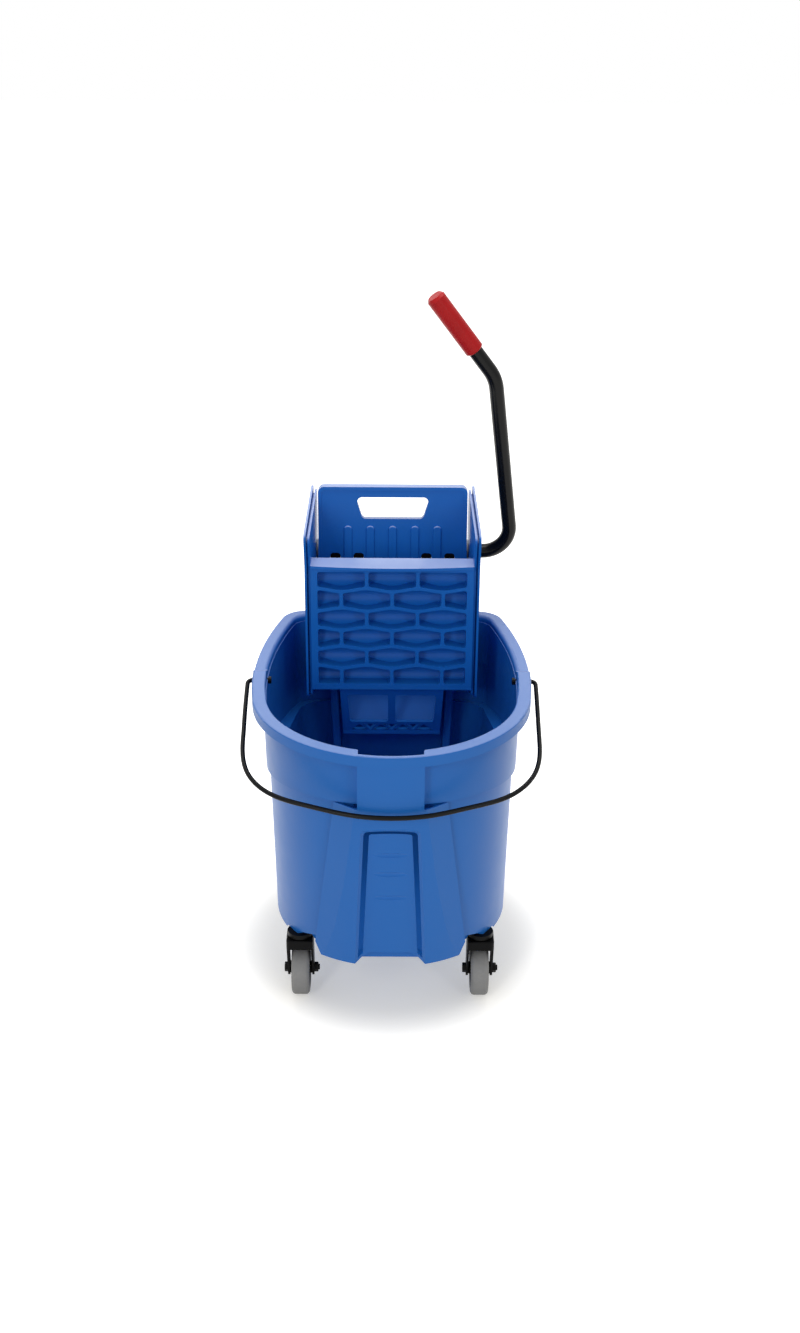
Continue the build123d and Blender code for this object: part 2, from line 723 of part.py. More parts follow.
def rounded(face, corners, radius):
    """Round the corners of a face that lie at the given (y, z) points."""
    for y, z in corners:
        near = face.vertices().sort_by_distance(Vector(0, y, z))[0]
        face = fillet(near, radius)
    return face


def side_slab(shift, x0, x1):
    """A slab with the side plate's outline between two distances from the inner face."""
    points = side_outline(shift)
    face = make_face(Polyline(*[(0, y, z) for y, z in points], close=True))
    face = rounded(face, [points[0], points[1]], 9.0)
    face = rounded(face, [points[2]], 20.0)
    face = rounded(face, [points[3], points[4]], 7.0)
    return Pos(x0, 0, 0) * extrude(face, x1 - x0, dir=(1, 0, 0))


def side_plate():
    """Right side plate with its double lip, shaft boss and holes."""
    outer_lip = 3.0
    inner_lip = side_thick - outer_lip - lip_groove
    plate = side_slab(0.0, 0.0, side_thick)
    lowered = side_slab(0.0, 0.0, inner_lip) - side_slab(lip_depth, -1.0, inner_lip + 1)
    groove = side_slab(0.0, inner_lip, inner_lip + lip_groove)
    groove -= side_slab(2 * lip_depth, inner_lip - 1, side_thick)
    plate = plate - lowered - groove
    plate += rod(boss_radius, (side_thick - 1, crank_y, crank_z), (side_thick + boss_height, crank_y, crank_z))
    angle = degrees(atan2(inner_half_front - inner_half_rear, crank_y - panel_front_y))
    plate = Pos(inner_half_rear, crank_y, 0) * Rot(0, 0, angle) * Pos(0, -crank_y, 0) * plate
    inside, outside = inner_half_rear - side_thick, inner_half_front + 3 * side_thick
    plate -= rod(tube_radius + running_fit + bush_wall, (inside, crank_y, crank_z), (outside, crank_y, crank_z))
    plate -= rod(hinge_rod_radius, (inside, hinge_y, hinge_z), (outside, hinge_y, hinge_z))
    for y, z, _ in screw_places():
        seat = inner_half(y) + side_thick - screw_sink - screw_head_height
        plate -= rod(screw_radius, (inside, y, z), (outside, y, z))
        plate -= rod(screw_head + seat_gap, (seat, y, z), (outside, y, z))
    return plate


def screw_places():
    """Side screws as (y, z, length into the part)."""
    front = (panel_front_y + panel_rear_y) / 2 + 5
    rear = (hanger_front + hanger_back) / 2
    middle = (rim_height + hanger_top) / 2
    return [(front, z, screw_depth) for z in screw_heights] + [(rear, middle, screw_depth)]


def side_screw(y, z, depth):
    """Pan-head screw through the right side plate."""
    seat = inner_half(y) + side_thick - screw_sink - screw_head_height
    shank = rod(screw_radius, (inner_half(y) - depth, y, z), (seat + 1, y, z))
    head = rod(screw_head, (seat, y, z), (seat + screw_head_height, y, z))
    head = fillet(head.edges().group_by(Axis.X)[-1], 1.4)
    return shank + head


def brick(x0, x1, line_top, line_low, z_top, z_low):
    """Outline of one brick, with its top and foot arched by the courses."""
    z_top, z_low = z_top - brick_rib / 2, z_low + brick_rib / 2

    def height(base, phase, x):
        turn = pi * x / (field_half * 2 / brick_columns / 2)
        return base + phase * brick_wave * cos(turn)

    def edge(base, phase):
        steps = [x0 + (x1 - x0) * i / 6 for i in range(7)]
        return [(x, height(base, phase, x)) for x in steps]

    upper, lower = edge(z_top, line_top), edge(z_low, line_low)
    sides = [Spline(*upper), Line(upper[-1], lower[-1]), Spline(*reversed(lower)), Line(lower[0], upper[0])]
    face = make_face(sides)
    return Plane.XZ * fillet(face.vertices(), brick_corner)


def brick_pockets():
    """The pockets between the brick ribs, each with a trough-shaped floor."""
    pitch = (field_top - field_low) / brick_rows
    length = 2 * field_half / brick_columns
    half_rib = brick_rib / 2
    bed = panel_rear_y - panel_sheet
    cuts = []
    for row in range(brick_rows):
        z_top = field_top - row * pitch
        z_low = z_top - pitch
        shift = 0.0 if row % 2 == 0 else length / 2
        phase = -1.0 if row % 2 == 0 else 1.0
        starts = [-field_half + shift + i * length for i in range(brick_columns)]
        spans = [(x + half_rib, x + length - half_rib) for x in starts if x + length <= field_half + 1]
        if shift:
            spans.append((-field_half + half_rib, -field_half + shift - half_rib))
            spans.append((field_half - shift + half_rib, field_half - half_rib))
        top_phase = 0.0 if row == 0 else -phase
        low_phase = 0.0 if row == brick_rows - 1 else phase
        drum_radius = pitch * 0.56
        middle = (z_top + z_low) / 2
        trough = rod(drum_radius, (-150, bed - drum_radius, middle), (150, bed - drum_radius, middle))
        trough += box(-150, 150, 0, bed - drum_radius, z_low - 5, z_top + 5)
        for x0, x1 in spans:
            face = brick(x0, x1, top_phase, low_phase, z_top, z_low)
            cuts.append((Pos(0, 60, 0) * extrude(face, 80, dir=(0, 1, 0))) & trough)
    return cuts


def front_panel():
    """Front wall of the wringer: ribbed like brickwork in front, flat behind."""
    slab = box(-130, 130, panel_front_y, panel_rear_y, panel_low, panel_top)
    slab -= brick_pockets()
    nose = ThreePointArc((-130, panel_front_y), (0, panel_front_y - panel_bow), (130, panel_front_y))
    face = make_face([nose, Line((130, panel_front_y), (-130, panel_front_y))])
    flange = Pos(0, 0, panel_top - flange_thick) * extrude(face, flange_thick)
    panel = (slab + flange) & between_sides()
    for y, z, depth in screw_places()[:3]:
        for side in (-1, 1):
            panel -= rod(screw_radius, (side * (inner_half(y) - depth), y, z), (side * 130, y, z))
    return panel


def trough_slab(start, end, half_start, half_end, low, high):
    """A sloping sheet between two (y, z) lines, tapering in width; low and high are across it."""
    length = hypot(end[0] - start[0], end[1] - start[1])
    face = make_face(Polyline((-half_start, 0), (half_start, 0), (half_end, length), (-half_end, length),
                              close=True))
    slab = Pos(0, 0, low) * extrude(face, high - low)
    tilt = degrees(atan2(end[1] - start[1], end[0] - start[0]))
    return Pos(0, start[0], start[1]) * Rot(tilt, 0, 0) * slab


def drain_grille():
    """Drain trough under the hopper: sloping grille, back sheet, cheeks and shoulders."""
    front, foot, back = trough_front, trough_foot, trough_back
    sheet = trough_sheet
    top_half, low_half = trough_top_half, trough_low_half
    grille = trough_slab(foot, front, low_half, top_half, -sheet, 2.0)
    grille = grille & box(-200, 200, 0, 300, 0, panel_low)
    rear = trough_slab(foot, back, low_half, top_half, -sheet, 0)
    bottom = box(-low_half, low_half, foot[0] - 3, foot[0] + 4, foot[1] - 4, foot[1] + 4)
    cheek = side_profile([(front[0] + 1, panel_low), front, foot, back, (back[0] - 3, back[1] + 2),
                          (panel_rear_y + 2, panel_low)], top_half - sheet, top_half)
    lean = degrees(atan2(top_half - low_half, front[1] - foot[1]))
    cheek = Pos(top_half, 0, panel_low) * Rot(0, lean, 0) * Pos(-top_half, 0, -panel_low) * cheek
    shoulder_line = [(panel_rear_y, panel_low - 5), (back[0] + 1, back[1] - 1), (back[0] + 1, back[1] + 3),
                     (panel_rear_y, panel_low - 1)]
    shoulder = side_profile(shoulder_line, top_half - sheet, 130)
    lip = box(top_half - sheet, 130, panel_front_y + 6, panel_rear_y + 4, panel_low - sheet, panel_low)
    body = grille + rear + bottom
    for part in (cheek, shoulder & between_sides(), lip & between_sides()):
        body += [part, mirrored(part)]
    body += box(-top_half, top_half, panel_front_y + 6, panel_rear_y - 2, panel_low - sheet, panel_low)
    low, high = window_rise
    inner, outer = grille_bar / 2, window_side
    window = Polyline((inner, high), (outer, high), (outer - 3, low), (inner, low), close=True)
    hole = extrude(Plane.XZ * make_face(window), 60, dir=(0, 1, 0))
    hole = fillet(hole.edges().filter_by(Axis.Y), 4.0)
    hole = Pos(0, panel_front_y - 4, 0) * hole & trough_slab(foot, front, 200, 200, -10, 6)
    body -= [hole, mirrored(hole)]
    body -= truss_holes()
    body &= box(-200, 200, 0, 300, 0, panel_low)
    for side in (-1, 1):
        body -= rod(screw_radius, (side * 66, 118, panel_low - 10), (side * 66, 118, panel_low + 2))
    return body


def truss_holes():
    """Triangular openings that leave crossed ribs under the windows."""
    low, high = truss_rise
    pitch = 2 * (window_side - 1) / 4
    half = pitch / 2 - truss_rib
    cuts = []
    for i in range(-2, 3):
        for foot, tip, shift in ((high, low, 0.0), (low, high, pitch / 2)):
            x = i * pitch + shift
            if abs(x) + half < window_side - 2:
                face = make_face(Polyline((x - half, foot), (x + half, foot), (x, tip), close=True))
                hole = Pos(0, panel_front_y, 0) * extrude(Plane.XZ * face, 80, dir=(0, 1, 0))
                cuts.append(hole & trough_slab(trough_foot, trough_front, 200, 200, -10, 6))
    return cuts


def rear_hanger():
    """Channel across the back that sits over the bucket's rear rim, with a hook lip behind."""
    base = rim_height - rear_rim_drop + seat_gap
    top = hanger_top
    channel = box(-130, 130, hanger_front, hanger_back, base, top)
    channel -= box(-130, 130, hanger_front - 1, hanger_back - hanger_sheet, base + hanger_sheet, top - hanger_sheet)
    rib = box(-2, 2, hanger_front + 3, hanger_back - 1, base + 1, top - 1)
    channel += [Pos(x, 0, 0) * rib for x in (-75, -38, 0, 38, 75)]
    end = box(100, 130, hanger_front, hanger_back, base, top)
    channel += [end, mirrored(end)]
    hook = extrude(rim_plan(0, -hook_gap - hook_thick), base + 2 - hook_low)
    hook -= extrude(rim_plan(0, -hook_gap), base - hook_low)
    hook = Pos(0, 0, hook_low) * hook & box(-108, 108, hanger_front, 300, hook_low, base + 2)
    hanger = (channel + hook) & between_sides()
    y, z, depth = screw_places()[3]
    for side in (-1, 1):
        hanger -= rod(screw_radius, (side * (inner_half(y) - depth), y, z), (side * 130, y, z))
    return hanger


def shaft_bush():
    """Plain bush in the right side plate, flanged on the inside."""
    bore = tube_radius + running_fit
    outer = bore + bush_wall
    inside = inner_half(crank_y)
    sleeve = rod(outer, (inside - 0.5, crank_y, crank_z), (inside + side_thick + boss_height, crank_y, crank_z))
    flange = rod(outer + 3, (inside - 2.5, crank_y, crank_z), (inside - 0.5, crank_y, crank_z))
    return sleeve + flange - rod(bore, (90, crank_y, crank_z), (150, crank_y, crank_z))


def rod_cap():
    """Push-on cap on the right end of the hinge rod."""
    start = inner_half(hinge_y) + side_thick + 0.25
    cap = rod(barrel_radius - 0.5, (start, hinge_y, hinge_z), (start + 4, hinge_y, hinge_z))
    cap = fillet(cap.edges().group_by(Axis.X)[-1], 1.5)
    return cap - rod(hinge_rod_radius, (start - 1, hinge_y, hinge_z), (start + 2.5, hinge_y, hinge_z))


def both(shape):
    """A piece and its mirror image, as separate solids of one node."""
    return Compound(children=[shape, mirrored(shape)])


def torsion_spring():
    """Right return spring round the hinge rod: coil, hooked plate leg and fixed leg."""
    x0, x1 = spring_gap[0] + 2, spring_gap[1] - 2
    turns = 5.25
    path = Helix((x1 - x0) / turns, x1 - x0, spring_coil, direction=(1, 0, 0))
    path = Pos(x0, 0, 0) * path
    coil = sweep(Plane(origin=path @ 0, z_dir=path % 0) * Circle(spring_wire), path=path, is_frenet=True)
    start, end = path @ 0, path @ 1
    foot = (end.X, -18.0, -22.0)
    back = plate_sheet - plate_front + spring_wire + 0.05
    knee = (start.X, back, 34.0)
    tip = (start.X, -plate_front + 0.5, 34.0)
    spring = coil + rod(spring_wire, tuple(start), knee) + rod(spring_wire, knee, tip)
    spring += Pos(*knee) * Sphere(spring_wire)
    spring += Pos(*start) * Sphere(spring_wire)
    spring += rod(spring_wire, tuple(end), foot) + Pos(*end) * Sphere(spring_wire)
    return spring


def build_housing():
    """Fixed parts of the wringer."""
    plate = side_plate()
    add("wringer_side_plate_right", plate)
    add("wringer_side_plate_left", mirrored(plate))
    add("wringer_front_panel", front_panel())
    add("drain_grille", drain_grille())
    add("rear_hanger", rear_hanger())
    add("shaft_bushings", both(shaft_bush()))
    reach = inner_half(hinge_y) + side_thick + 2.5
    add("hinge_rod", rod(hinge_rod_radius, (-reach, hinge_y, hinge_z), (reach, hinge_y, hinge_z)))
    add("hinge_rod_caps", both(rod_cap()))
    screws = [side_screw(*place) for place in screw_places()]
    screws += [mirrored(screw) for screw in screws]
    add("housing_screws", Compound(children=screws))


# ---- press plate ----
def on_plate(shape):
    """Move a shape from the plate's own frame, hinge at the origin, to its open position."""
    return Pos(0, hinge_y, hinge_z) * Rot(-plate_lean, 0, 0) * shape


def hand_hole(grow, y0, y1):
    """Trapezoid hand hole, larger all round by grow."""
    outline = Polyline((-hand_low_half - grow, hand_low - grow), (hand_low_half + grow, hand_low - grow),
                       (hand_top_half + grow, hand_top + grow), (-hand_top_half - grow, hand_top + grow),
                       close=True)
    hole = extrude(Plane.XZ * make_face(outline), y1 - y0, dir=(0, 1, 0))
    return Pos(0, y0, 0) * fillet(hole.edges().filter_by(Axis.Y), 7.0 + grow)


def drain_slot(x):
    """One round-ended drain slot through the plate."""
    low, high = drain_top - drain_height, drain_top
    slot = box(x - drain_half, x + drain_half, -20, 20, low, high)
    return fillet(slot.edges().filter_by(Axis.Y), 4.5)


def press_rib(x):
    """One rounded upright rib on the pressing face."""
    front = -plate_front - press_rib_height
    rib = box(x - press_rib_half, x + press_rib_half, front, -plate_front + 1, 14, press_rib_top)
    rib = fillet(rib.edges().filter_by(Axis.Y), press_rib_half - 0.4)
    return fillet(rib.edges().group_by(Axis.Y)[0], 1.8)


def press_plate():
    """Moving press plate in its own frame, hinge line at the origin."""
    half, top = plate_half, plate_length
    rear = plate_sheet - plate_front
    plate = box(-half, half, -plate_front - plate_bead, plate_top_flange, 0, top)
    plate = fillet(plate.edges().filter_by(Axis.Y).group_by(Axis.Z)[-1], 9.0)
    edge = plate_border
    field = box(-half + edge, half - edge, -plate_front - 5, -plate_front, -5, top - edge)
    field = fillet(field.edges().filter_by(Axis.Y).group_by(Axis.Z)[-1], 5.0)
    hollow = box(-half + 4, half - 4, rear, 50, -5, top - 4)
    hollow = fillet(hollow.edges().filter_by(Axis.Y).group_by(Axis.Z)[-1], 5.0)
    plate -= field
    plate -= hollow
    plate -= box(-half - 5, half + 5, plate_flange, 60, -5, top - 20)
    plate -= box(-half - 5, half + 5, -20, 60, -5, 0.0)
    plate += hand_hole(3.0, rear - 0.5, rear + 7)
    plate += [press_rib(i * press_rib_pitch) for i in (-2, -1, 0, 1, 2)]
    plate -= hand_hole(0.0, -20, 40)
    plate -= [drain_slot(side * x) for x in drain_offsets for side in (-1, 1)]
    barrel = rod(barrel_radius, (-half, 0, 0), (half, 0, 0))
    plate += barrel
    low, high = spring_gap
    for side in (-1, 1):
        x0, x1 = sorted((side * low, side * high))
        plate -= box(x0, x1, -20, 20, -20, 11)
        plate -= rod(spring_wire + 0.1, (side * (low + 2), -20, 34), (side * (low + 2), 0, 34))
    return plate - rod(hinge_rod_radius + running_fit, (-150, 0, 0), (150, 0, 0))


def rub_pad():
    """Right rubbing pad on the back of the plate."""
    x0, x1 = cam_x - cam_thick / 2 - 1, cam_x + cam_thick / 2 + 1
    return box(x0, x1, plate_sheet - plate_front, pad_face, pad_rise[0], pad_rise[1])


def build_press():
    """The moving plate with its pads and springs."""
    add("press_plate", on_plate(press_plate()))
    add("rub_pads", on_plate(both(rub_pad())))
    add("return_springs", on_plate(both(torsion_spring())))


# ---- crank ----
def cam_contact(swing):
    """Where the plate touches the cam at a crank angle, in the cam's own frame."""
    lean = radians(plate_lean - press_ratio * swing)
    dy, dz = crank_y - hinge_y, crank_z - hinge_z
    off = dy * cos(lean) - dz * sin(lean) - pad_face - cam_gap
    up = (dy * sin(lean) + dz * cos(lean)) * press_ratio / (1 - press_ratio)
    y = -off * cos(lean) + up * sin(lean)
    z = off * sin(lean) + up * cos(lean)
    turn = radians(swing)
    return (y * cos(turn) + z * sin(turn), -y * sin(turn) + z * cos(turn))


def press_cam():
    """Right claw cam; its curved front keeps the plate on the crank's ratio."""
    steps = 8
    curve = [cam_contact(crank_swing * i / steps) for i in range(steps + 1)]
    front = Spline(*[(0, y, z) for y, z in curve])
    first, last = curve[0], curve[-1]
    back = Spline((0, last[0] + 4, last[1] - 4), (0, 19, 44), (0, cam_hub - 0.5, 2))
    edges = [front, Line((0, *last), (0, last[0] + 4, last[1] - 4)), back,
             Line((0, cam_hub - 0.5, 2), (0, -cam_hub + 0.5, 2)), Line((0, -cam_hub + 0.5, 2), (0, *first))]
    face = make_face(edges)
    claw = Pos(cam_x - cam_thick / 2, 0, 0) * extrude(face, cam_thick, dir=(1, 0, 0))
    claw += rod(cam_hub, (cam_x - cam_thick / 2, 0, 0), (cam_x + cam_thick / 2, 0, 0))
    cam = Pos(0, crank_y, crank_z) * claw
    cam -= rod(tube_radius, (0, crank_y, crank_z), (150, crank_y, crank_z))
    return cam - cam_pin()


def cam_pin():
    """Pin that holds the right cam on the shaft."""
    return rod(2.5, (cam_x, crank_y, crank_z - cam_hub), (cam_x, crank_y, crank_z + tube_radius + 4))


def crank_path():
    """Centre line of the crank tube, in its own plane, then leaned forward."""
    left = -(inner_half(crank_y) + side_thick + boss_height + shaft_play + end_cap_length - 1)
    points = [(left, 0), (crank_corner, 0), crank_knee, crank_tip]
    path = smooth_path(points, [lower_bend, upper_bend])
    return Pos(0, crank_y, crank_z) * Rot(crank_lean, 0, 0) * Rot(90, 0, 0) * path


def swept(path, radius):
    """A round bar along a path."""
    return sweep(Plane(origin=path @ 0, z_dir=path % 0) * Circle(radius), path=path)


def crank_grip():
    """Smooth soft grip on the free end of the crank, closed at the top."""
    path = crank_path()
    along = path % 1
    start = path @ 1 - along * (grip_length - grip_cap)
    outline = [(tube_radius, 0), (grip_radius - 1.5, 0), (grip_radius, 1.5), (grip_radius, grip_length - 4),
               (grip_radius - 3, grip_length), (0, grip_length), (0, grip_length - grip_cap),
               (tube_radius, grip_length - grip_cap)]
    section = Plane.XZ * make_face(Polyline(*outline, close=True))
    return Plane(origin=start, z_dir=along) * revolve(section, Axis.Z)


def crank_tube():
    """Bent crank tube: through shaft, arm and grip end."""
    path = crank_path()
    tube = swept(path, tube_radius) - swept(path, tube_bore)
    return tube - [cam_pin(), mirrored(cam_pin())]


def shaft_cap():
    """Cap pressed on the left end of the shaft, which keeps the crank in place."""
    start = -(inner_half(crank_y) + side_thick + boss_height + shaft_play)
    cap = rod(tube_radius + 3.5, (start, crank_y, crank_z), (start - end_cap_length, crank_y, crank_z))
    cap = fillet(cap.edges().group_by(Axis.X)[0], 2.0)
    return cap - rod(tube_radius, (start + 1, crank_y, crank_z), (start - end_cap_length + 1, crank_y, crank_z))


def build_crank():
    """Crank with its grip, cams and fixings."""
    add("crank_tube", crank_tube())
    add("crank_grip", crank_grip())
    add("press_cams", both(press_cam()))
    add("cam_pins", both(cam_pin()))
    add("shaft_cap", shaft_cap())


def main():
    """Build every piece and write one STEP file for each node."""
    body = bucket()
    add("bucket_body", body)
    build_casters()
    add("bail_handle", bail())
    build_housing()
    build_press()
    build_crank()
    os.makedirs("parts", exist_ok=True)
    for name, shape in nodes.items():
        export_step(shape, os.path.join("parts", name + ".step"))


if __name__ == "__main__":
    main()
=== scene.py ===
"""Mop bucket with a side-press wringer: finishes, small mouldings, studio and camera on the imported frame."""

from dataclasses import dataclass
from enum import Enum
import logging
from math import cos, pi, radians, sin
from typing import Any, Dict, List, Optional, Sequence, Tuple, Union

import bmesh
import bpy
from mathutils import Euler, Matrix, Vector


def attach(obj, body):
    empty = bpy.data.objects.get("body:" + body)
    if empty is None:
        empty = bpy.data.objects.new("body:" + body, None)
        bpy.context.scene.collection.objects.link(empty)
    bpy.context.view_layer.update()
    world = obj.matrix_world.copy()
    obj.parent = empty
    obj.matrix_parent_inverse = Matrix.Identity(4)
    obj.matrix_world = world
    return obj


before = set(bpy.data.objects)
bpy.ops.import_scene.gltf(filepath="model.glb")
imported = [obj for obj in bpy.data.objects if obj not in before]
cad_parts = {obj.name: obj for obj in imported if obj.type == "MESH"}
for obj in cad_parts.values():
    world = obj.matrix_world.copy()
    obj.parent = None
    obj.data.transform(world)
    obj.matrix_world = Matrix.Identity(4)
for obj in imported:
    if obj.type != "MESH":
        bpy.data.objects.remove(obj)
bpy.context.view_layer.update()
LOG = logging.getLogger("mop_bucket")
Colour = Tuple[float, float, float]
Number = Union[int, float]


class Way(Enum):
    """Axes of the part's frame."""

    X = 0
    Y = 1
    Z = 2


def srgb(red: int, green: int, blue: int) -> Colour:
    """Turn an 8-bit screen colour into linear light.

    Args:
        red: Red, 0 to 255.
        green: Green, 0 to 255.
        blue: Blue, 0 to 255.

    Returns:
        The three linear values.
    """

    def channel(value: int) -> float:
        """Linear value of one channel."""
        level = value / 255.0
        return level / 12.92 if level <= 0.04045 else ((level + 0.055) / 1.055) ** 2.4

    return channel(red), channel(green), channel(blue)


class Signal:
    """A shader socket that takes part in arithmetic."""

    def __init__(self, graph: "Graph", socket: bpy.types.NodeSocket) -> None:
        """Wrap one output socket of a graph."""
        self.graph = graph
        self.socket = socket

    def _math(self, operation: str, *values: Union["Signal", Number], clamp: bool = False) -> "Signal":
        """Add a Math node.

        Args:
            operation: The node's operation.
            values: Its inputs, in order.
            clamp: Whether the result is kept between 0 and 1.

        Returns:
            The node's result.
        """
        settings = {"operation": operation, "use_clamp": clamp}
        return self.graph.node("ShaderNodeMath", settings, dict(enumerate(values)))

    def __add__(self, other: Union["Signal", Number]) -> "Signal":
        """self + other."""
        return self._math("ADD", self, other)

    def __radd__(self, other: Number) -> "Signal":
        """other + self."""
        return self._math("ADD", other, self)

    def __sub__(self, other: Union["Signal", Number]) -> "Signal":
        """self - other."""
        return self._math("SUBTRACT", self, other)

    def __rsub__(self, other: Number) -> "Signal":
        """other - self."""
        return self._math("SUBTRACT", other, self)

    def __mul__(self, other: Union["Signal", Number]) -> "Signal":
        """self * other."""
        return self._math("MULTIPLY", self, other)

    def __rmul__(self, other: Number) -> "Signal":
        """other * self."""
        return self._math("MULTIPLY", other, self)

    def clamped(self) -> "Signal":
        """self kept between 0 and 1."""
        return self._math("ADD", self, 0.0, clamp=True)

    def ramp(self, low: float, high: float) -> "Signal":
        """Rise smoothly from 0 at low to 1 at high.

        Args:
            low: Value at which the result is 0.
            high: Value at which the result is 1. It lies below low where the result falls.

        Returns:
            The smooth step.
        """
        settings = {"interpolation_type": "SMOOTHSTEP", "clamp": True}
        inputs = {"Value": self, "From Min": low, "From Max": high}
        return self.graph.node("ShaderNodeMapRange", settings, inputs)


class Graph:
    """The node tree of one material or world, with a short way to add nodes."""

    def __init__(self, tree: bpy.types.NodeTree) -> None:
        """Empty a tree and take it over."""
        self.tree = tree
        tree.nodes.clear()
        self._place: Optional[bpy.types.Node] = None

    def raw(self, kind: str, settings: Dict[str, Any], inputs: Dict[Union[int, str], Any]) -> bpy.types.Node:
        """Add a node.

        Args:
            kind: Blender's type name of the node.
            settings: Properties that are set first.
            inputs: Values or signals, by the socket's name or number.

        Returns:
            The new node.
        """
        node = self.tree.nodes.new(kind)
        for name, value in settings.items():
            setattr(node, name, value)
        for key, value in inputs.items():
            socket = node.inputs[key]
            if isinstance(value, Signal):
                self.tree.links.new(value.socket, socket)
            elif isinstance(value, tuple) and len(value) == 3 and socket.type == "RGBA":
                socket.default_value = (*value, 1.0)
            else:
                socket.default_value = value
        return node

    def node(self, kind: str, settings: Optional[Dict[str, Any]] = None,
             inputs: Optional[Dict[Union[int, str], Any]] = None, output: Union[int, str] = 0) -> Signal:
        """Add a node and give one of its outputs.

        Args:
            kind: Blender's type name of the node.
            settings: Properties that are set first.
            inputs: Values or signals, by the socket's name or number.
            output: Name or number of the output that is wanted.

        Returns:
            That output.
        """
        return Signal(self, self.raw(kind, settings or {}, inputs or {}).outputs[output])

    def place(self, scale: Sequence[float] = (1.0, 1.0, 1.0)) -> Signal:
        """Position on the object, scaled.

        Args:
            scale: Scale along each axis.

        Returns:
            The position in metres, after the scale.
        """
        if self._place is None:
            self._place = self.raw("ShaderNodeTexCoord", {}, {})
        here = Signal(self, self._place.outputs["Object"])
        return self.node("ShaderNodeMapping", {}, {"Vector": here, "Scale": tuple(scale)})

    def along(self, way: Way) -> Signal:
        """Position along one axis of the frame, in metres."""
        return self.node("ShaderNodeSeparateXYZ", {}, {0: self.place()}, way.value)

    def facing(self, way: Way) -> Signal:
        """How far the surface faces along one axis of the frame, -1 to 1."""
        normal = self.node("ShaderNodeTexCoord", {}, {}, "Normal")
        return self.node("ShaderNodeSeparateXYZ", {}, {0: normal}, way.value)

    def noise(self, scale: float, detail: float = 3.0, rough: float = 0.55,
              stretch: Sequence[float] = (1.0, 1.0, 1.0)) -> Signal:
        """Soft noise between 0 and 1.

        Args:
            scale: Features per metre.
            detail: Octaves.
            rough: Weight of the finer octaves.
            stretch: Scale along each axis.

        Returns:
            The noise value.
        """
        inputs = {"Vector": self.place(stretch), "Scale": scale, "Detail": detail, "Roughness": rough}
        return self.node("ShaderNodeTexNoise", {"noise_dimensions": "3D"}, inputs, 0)

    def cells(self, scale: float) -> Signal:
        """Distance to the nearest of many scattered points, at a scale in features per metre."""
        inputs = {"Vector": self.place(), "Scale": scale}
        return self.node("ShaderNodeTexVoronoi", {"feature": "F1"}, inputs, "Distance")

    def blend(self, amount: Union[Signal, Number], base: Union[Signal, Colour],
              over: Union[Signal, Colour]) -> Signal:
        """Mix two colours.

        Args:
            amount: Share of the second colour.
            base: First colour.
            over: Second colour.

        Returns:
            The mixed colour.
        """
        settings = {"data_type": "RGBA", "blend_type": "MIX", "clamp_factor": True}
        return self.node("ShaderNodeMix", settings, {0: amount, 6: base, 7: over}, 2)

    def bump(self, height: Signal, depth: float) -> Signal:
        """Turn a height between 0 and 1 into a normal, with its depth in metres."""
        return self.node("ShaderNodeBump", {}, {"Strength": 1.0, "Distance": depth, "Height": height})

    def surface(self, shader: Signal) -> None:
        """Join a shader to the tree's output."""
        self.raw("ShaderNodeOutputMaterial", {}, {"Surface": shader})


class Finish:
    """A procedural finish that makes its material once."""

    name: str

    def material(self) -> bpy.types.Material:
        """Give the finish's material, made on the first call.

        Returns:
            The material.
        """
        title = f"{self.name}_finish"
        known = bpy.data.materials.get(title)
        if known is not None:
            return known
        made = bpy.data.materials.new(title)
        made.use_nodes = True
        graph = Graph(made.node_tree)
        graph.surface(self.shader(graph))
        return made

    def shader(self, graph: Graph) -> Signal:
        """Build the finish's shader in a graph."""
        raise NotImplementedError

    def wear(self, node: str) -> None:
        """Put this finish on a CAD node."""
        put_on(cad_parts[node], self.material())


def put_on(piece: bpy.types.Object, material: bpy.types.Material) -> None:
    """Give every face of a piece one material.

    Args:
        piece: The mesh object.
        material: Its new material.
    """
    if not piece.material_slots:
        piece.data.materials.append(material)
    for slot in piece.material_slots:
        slot.material = material


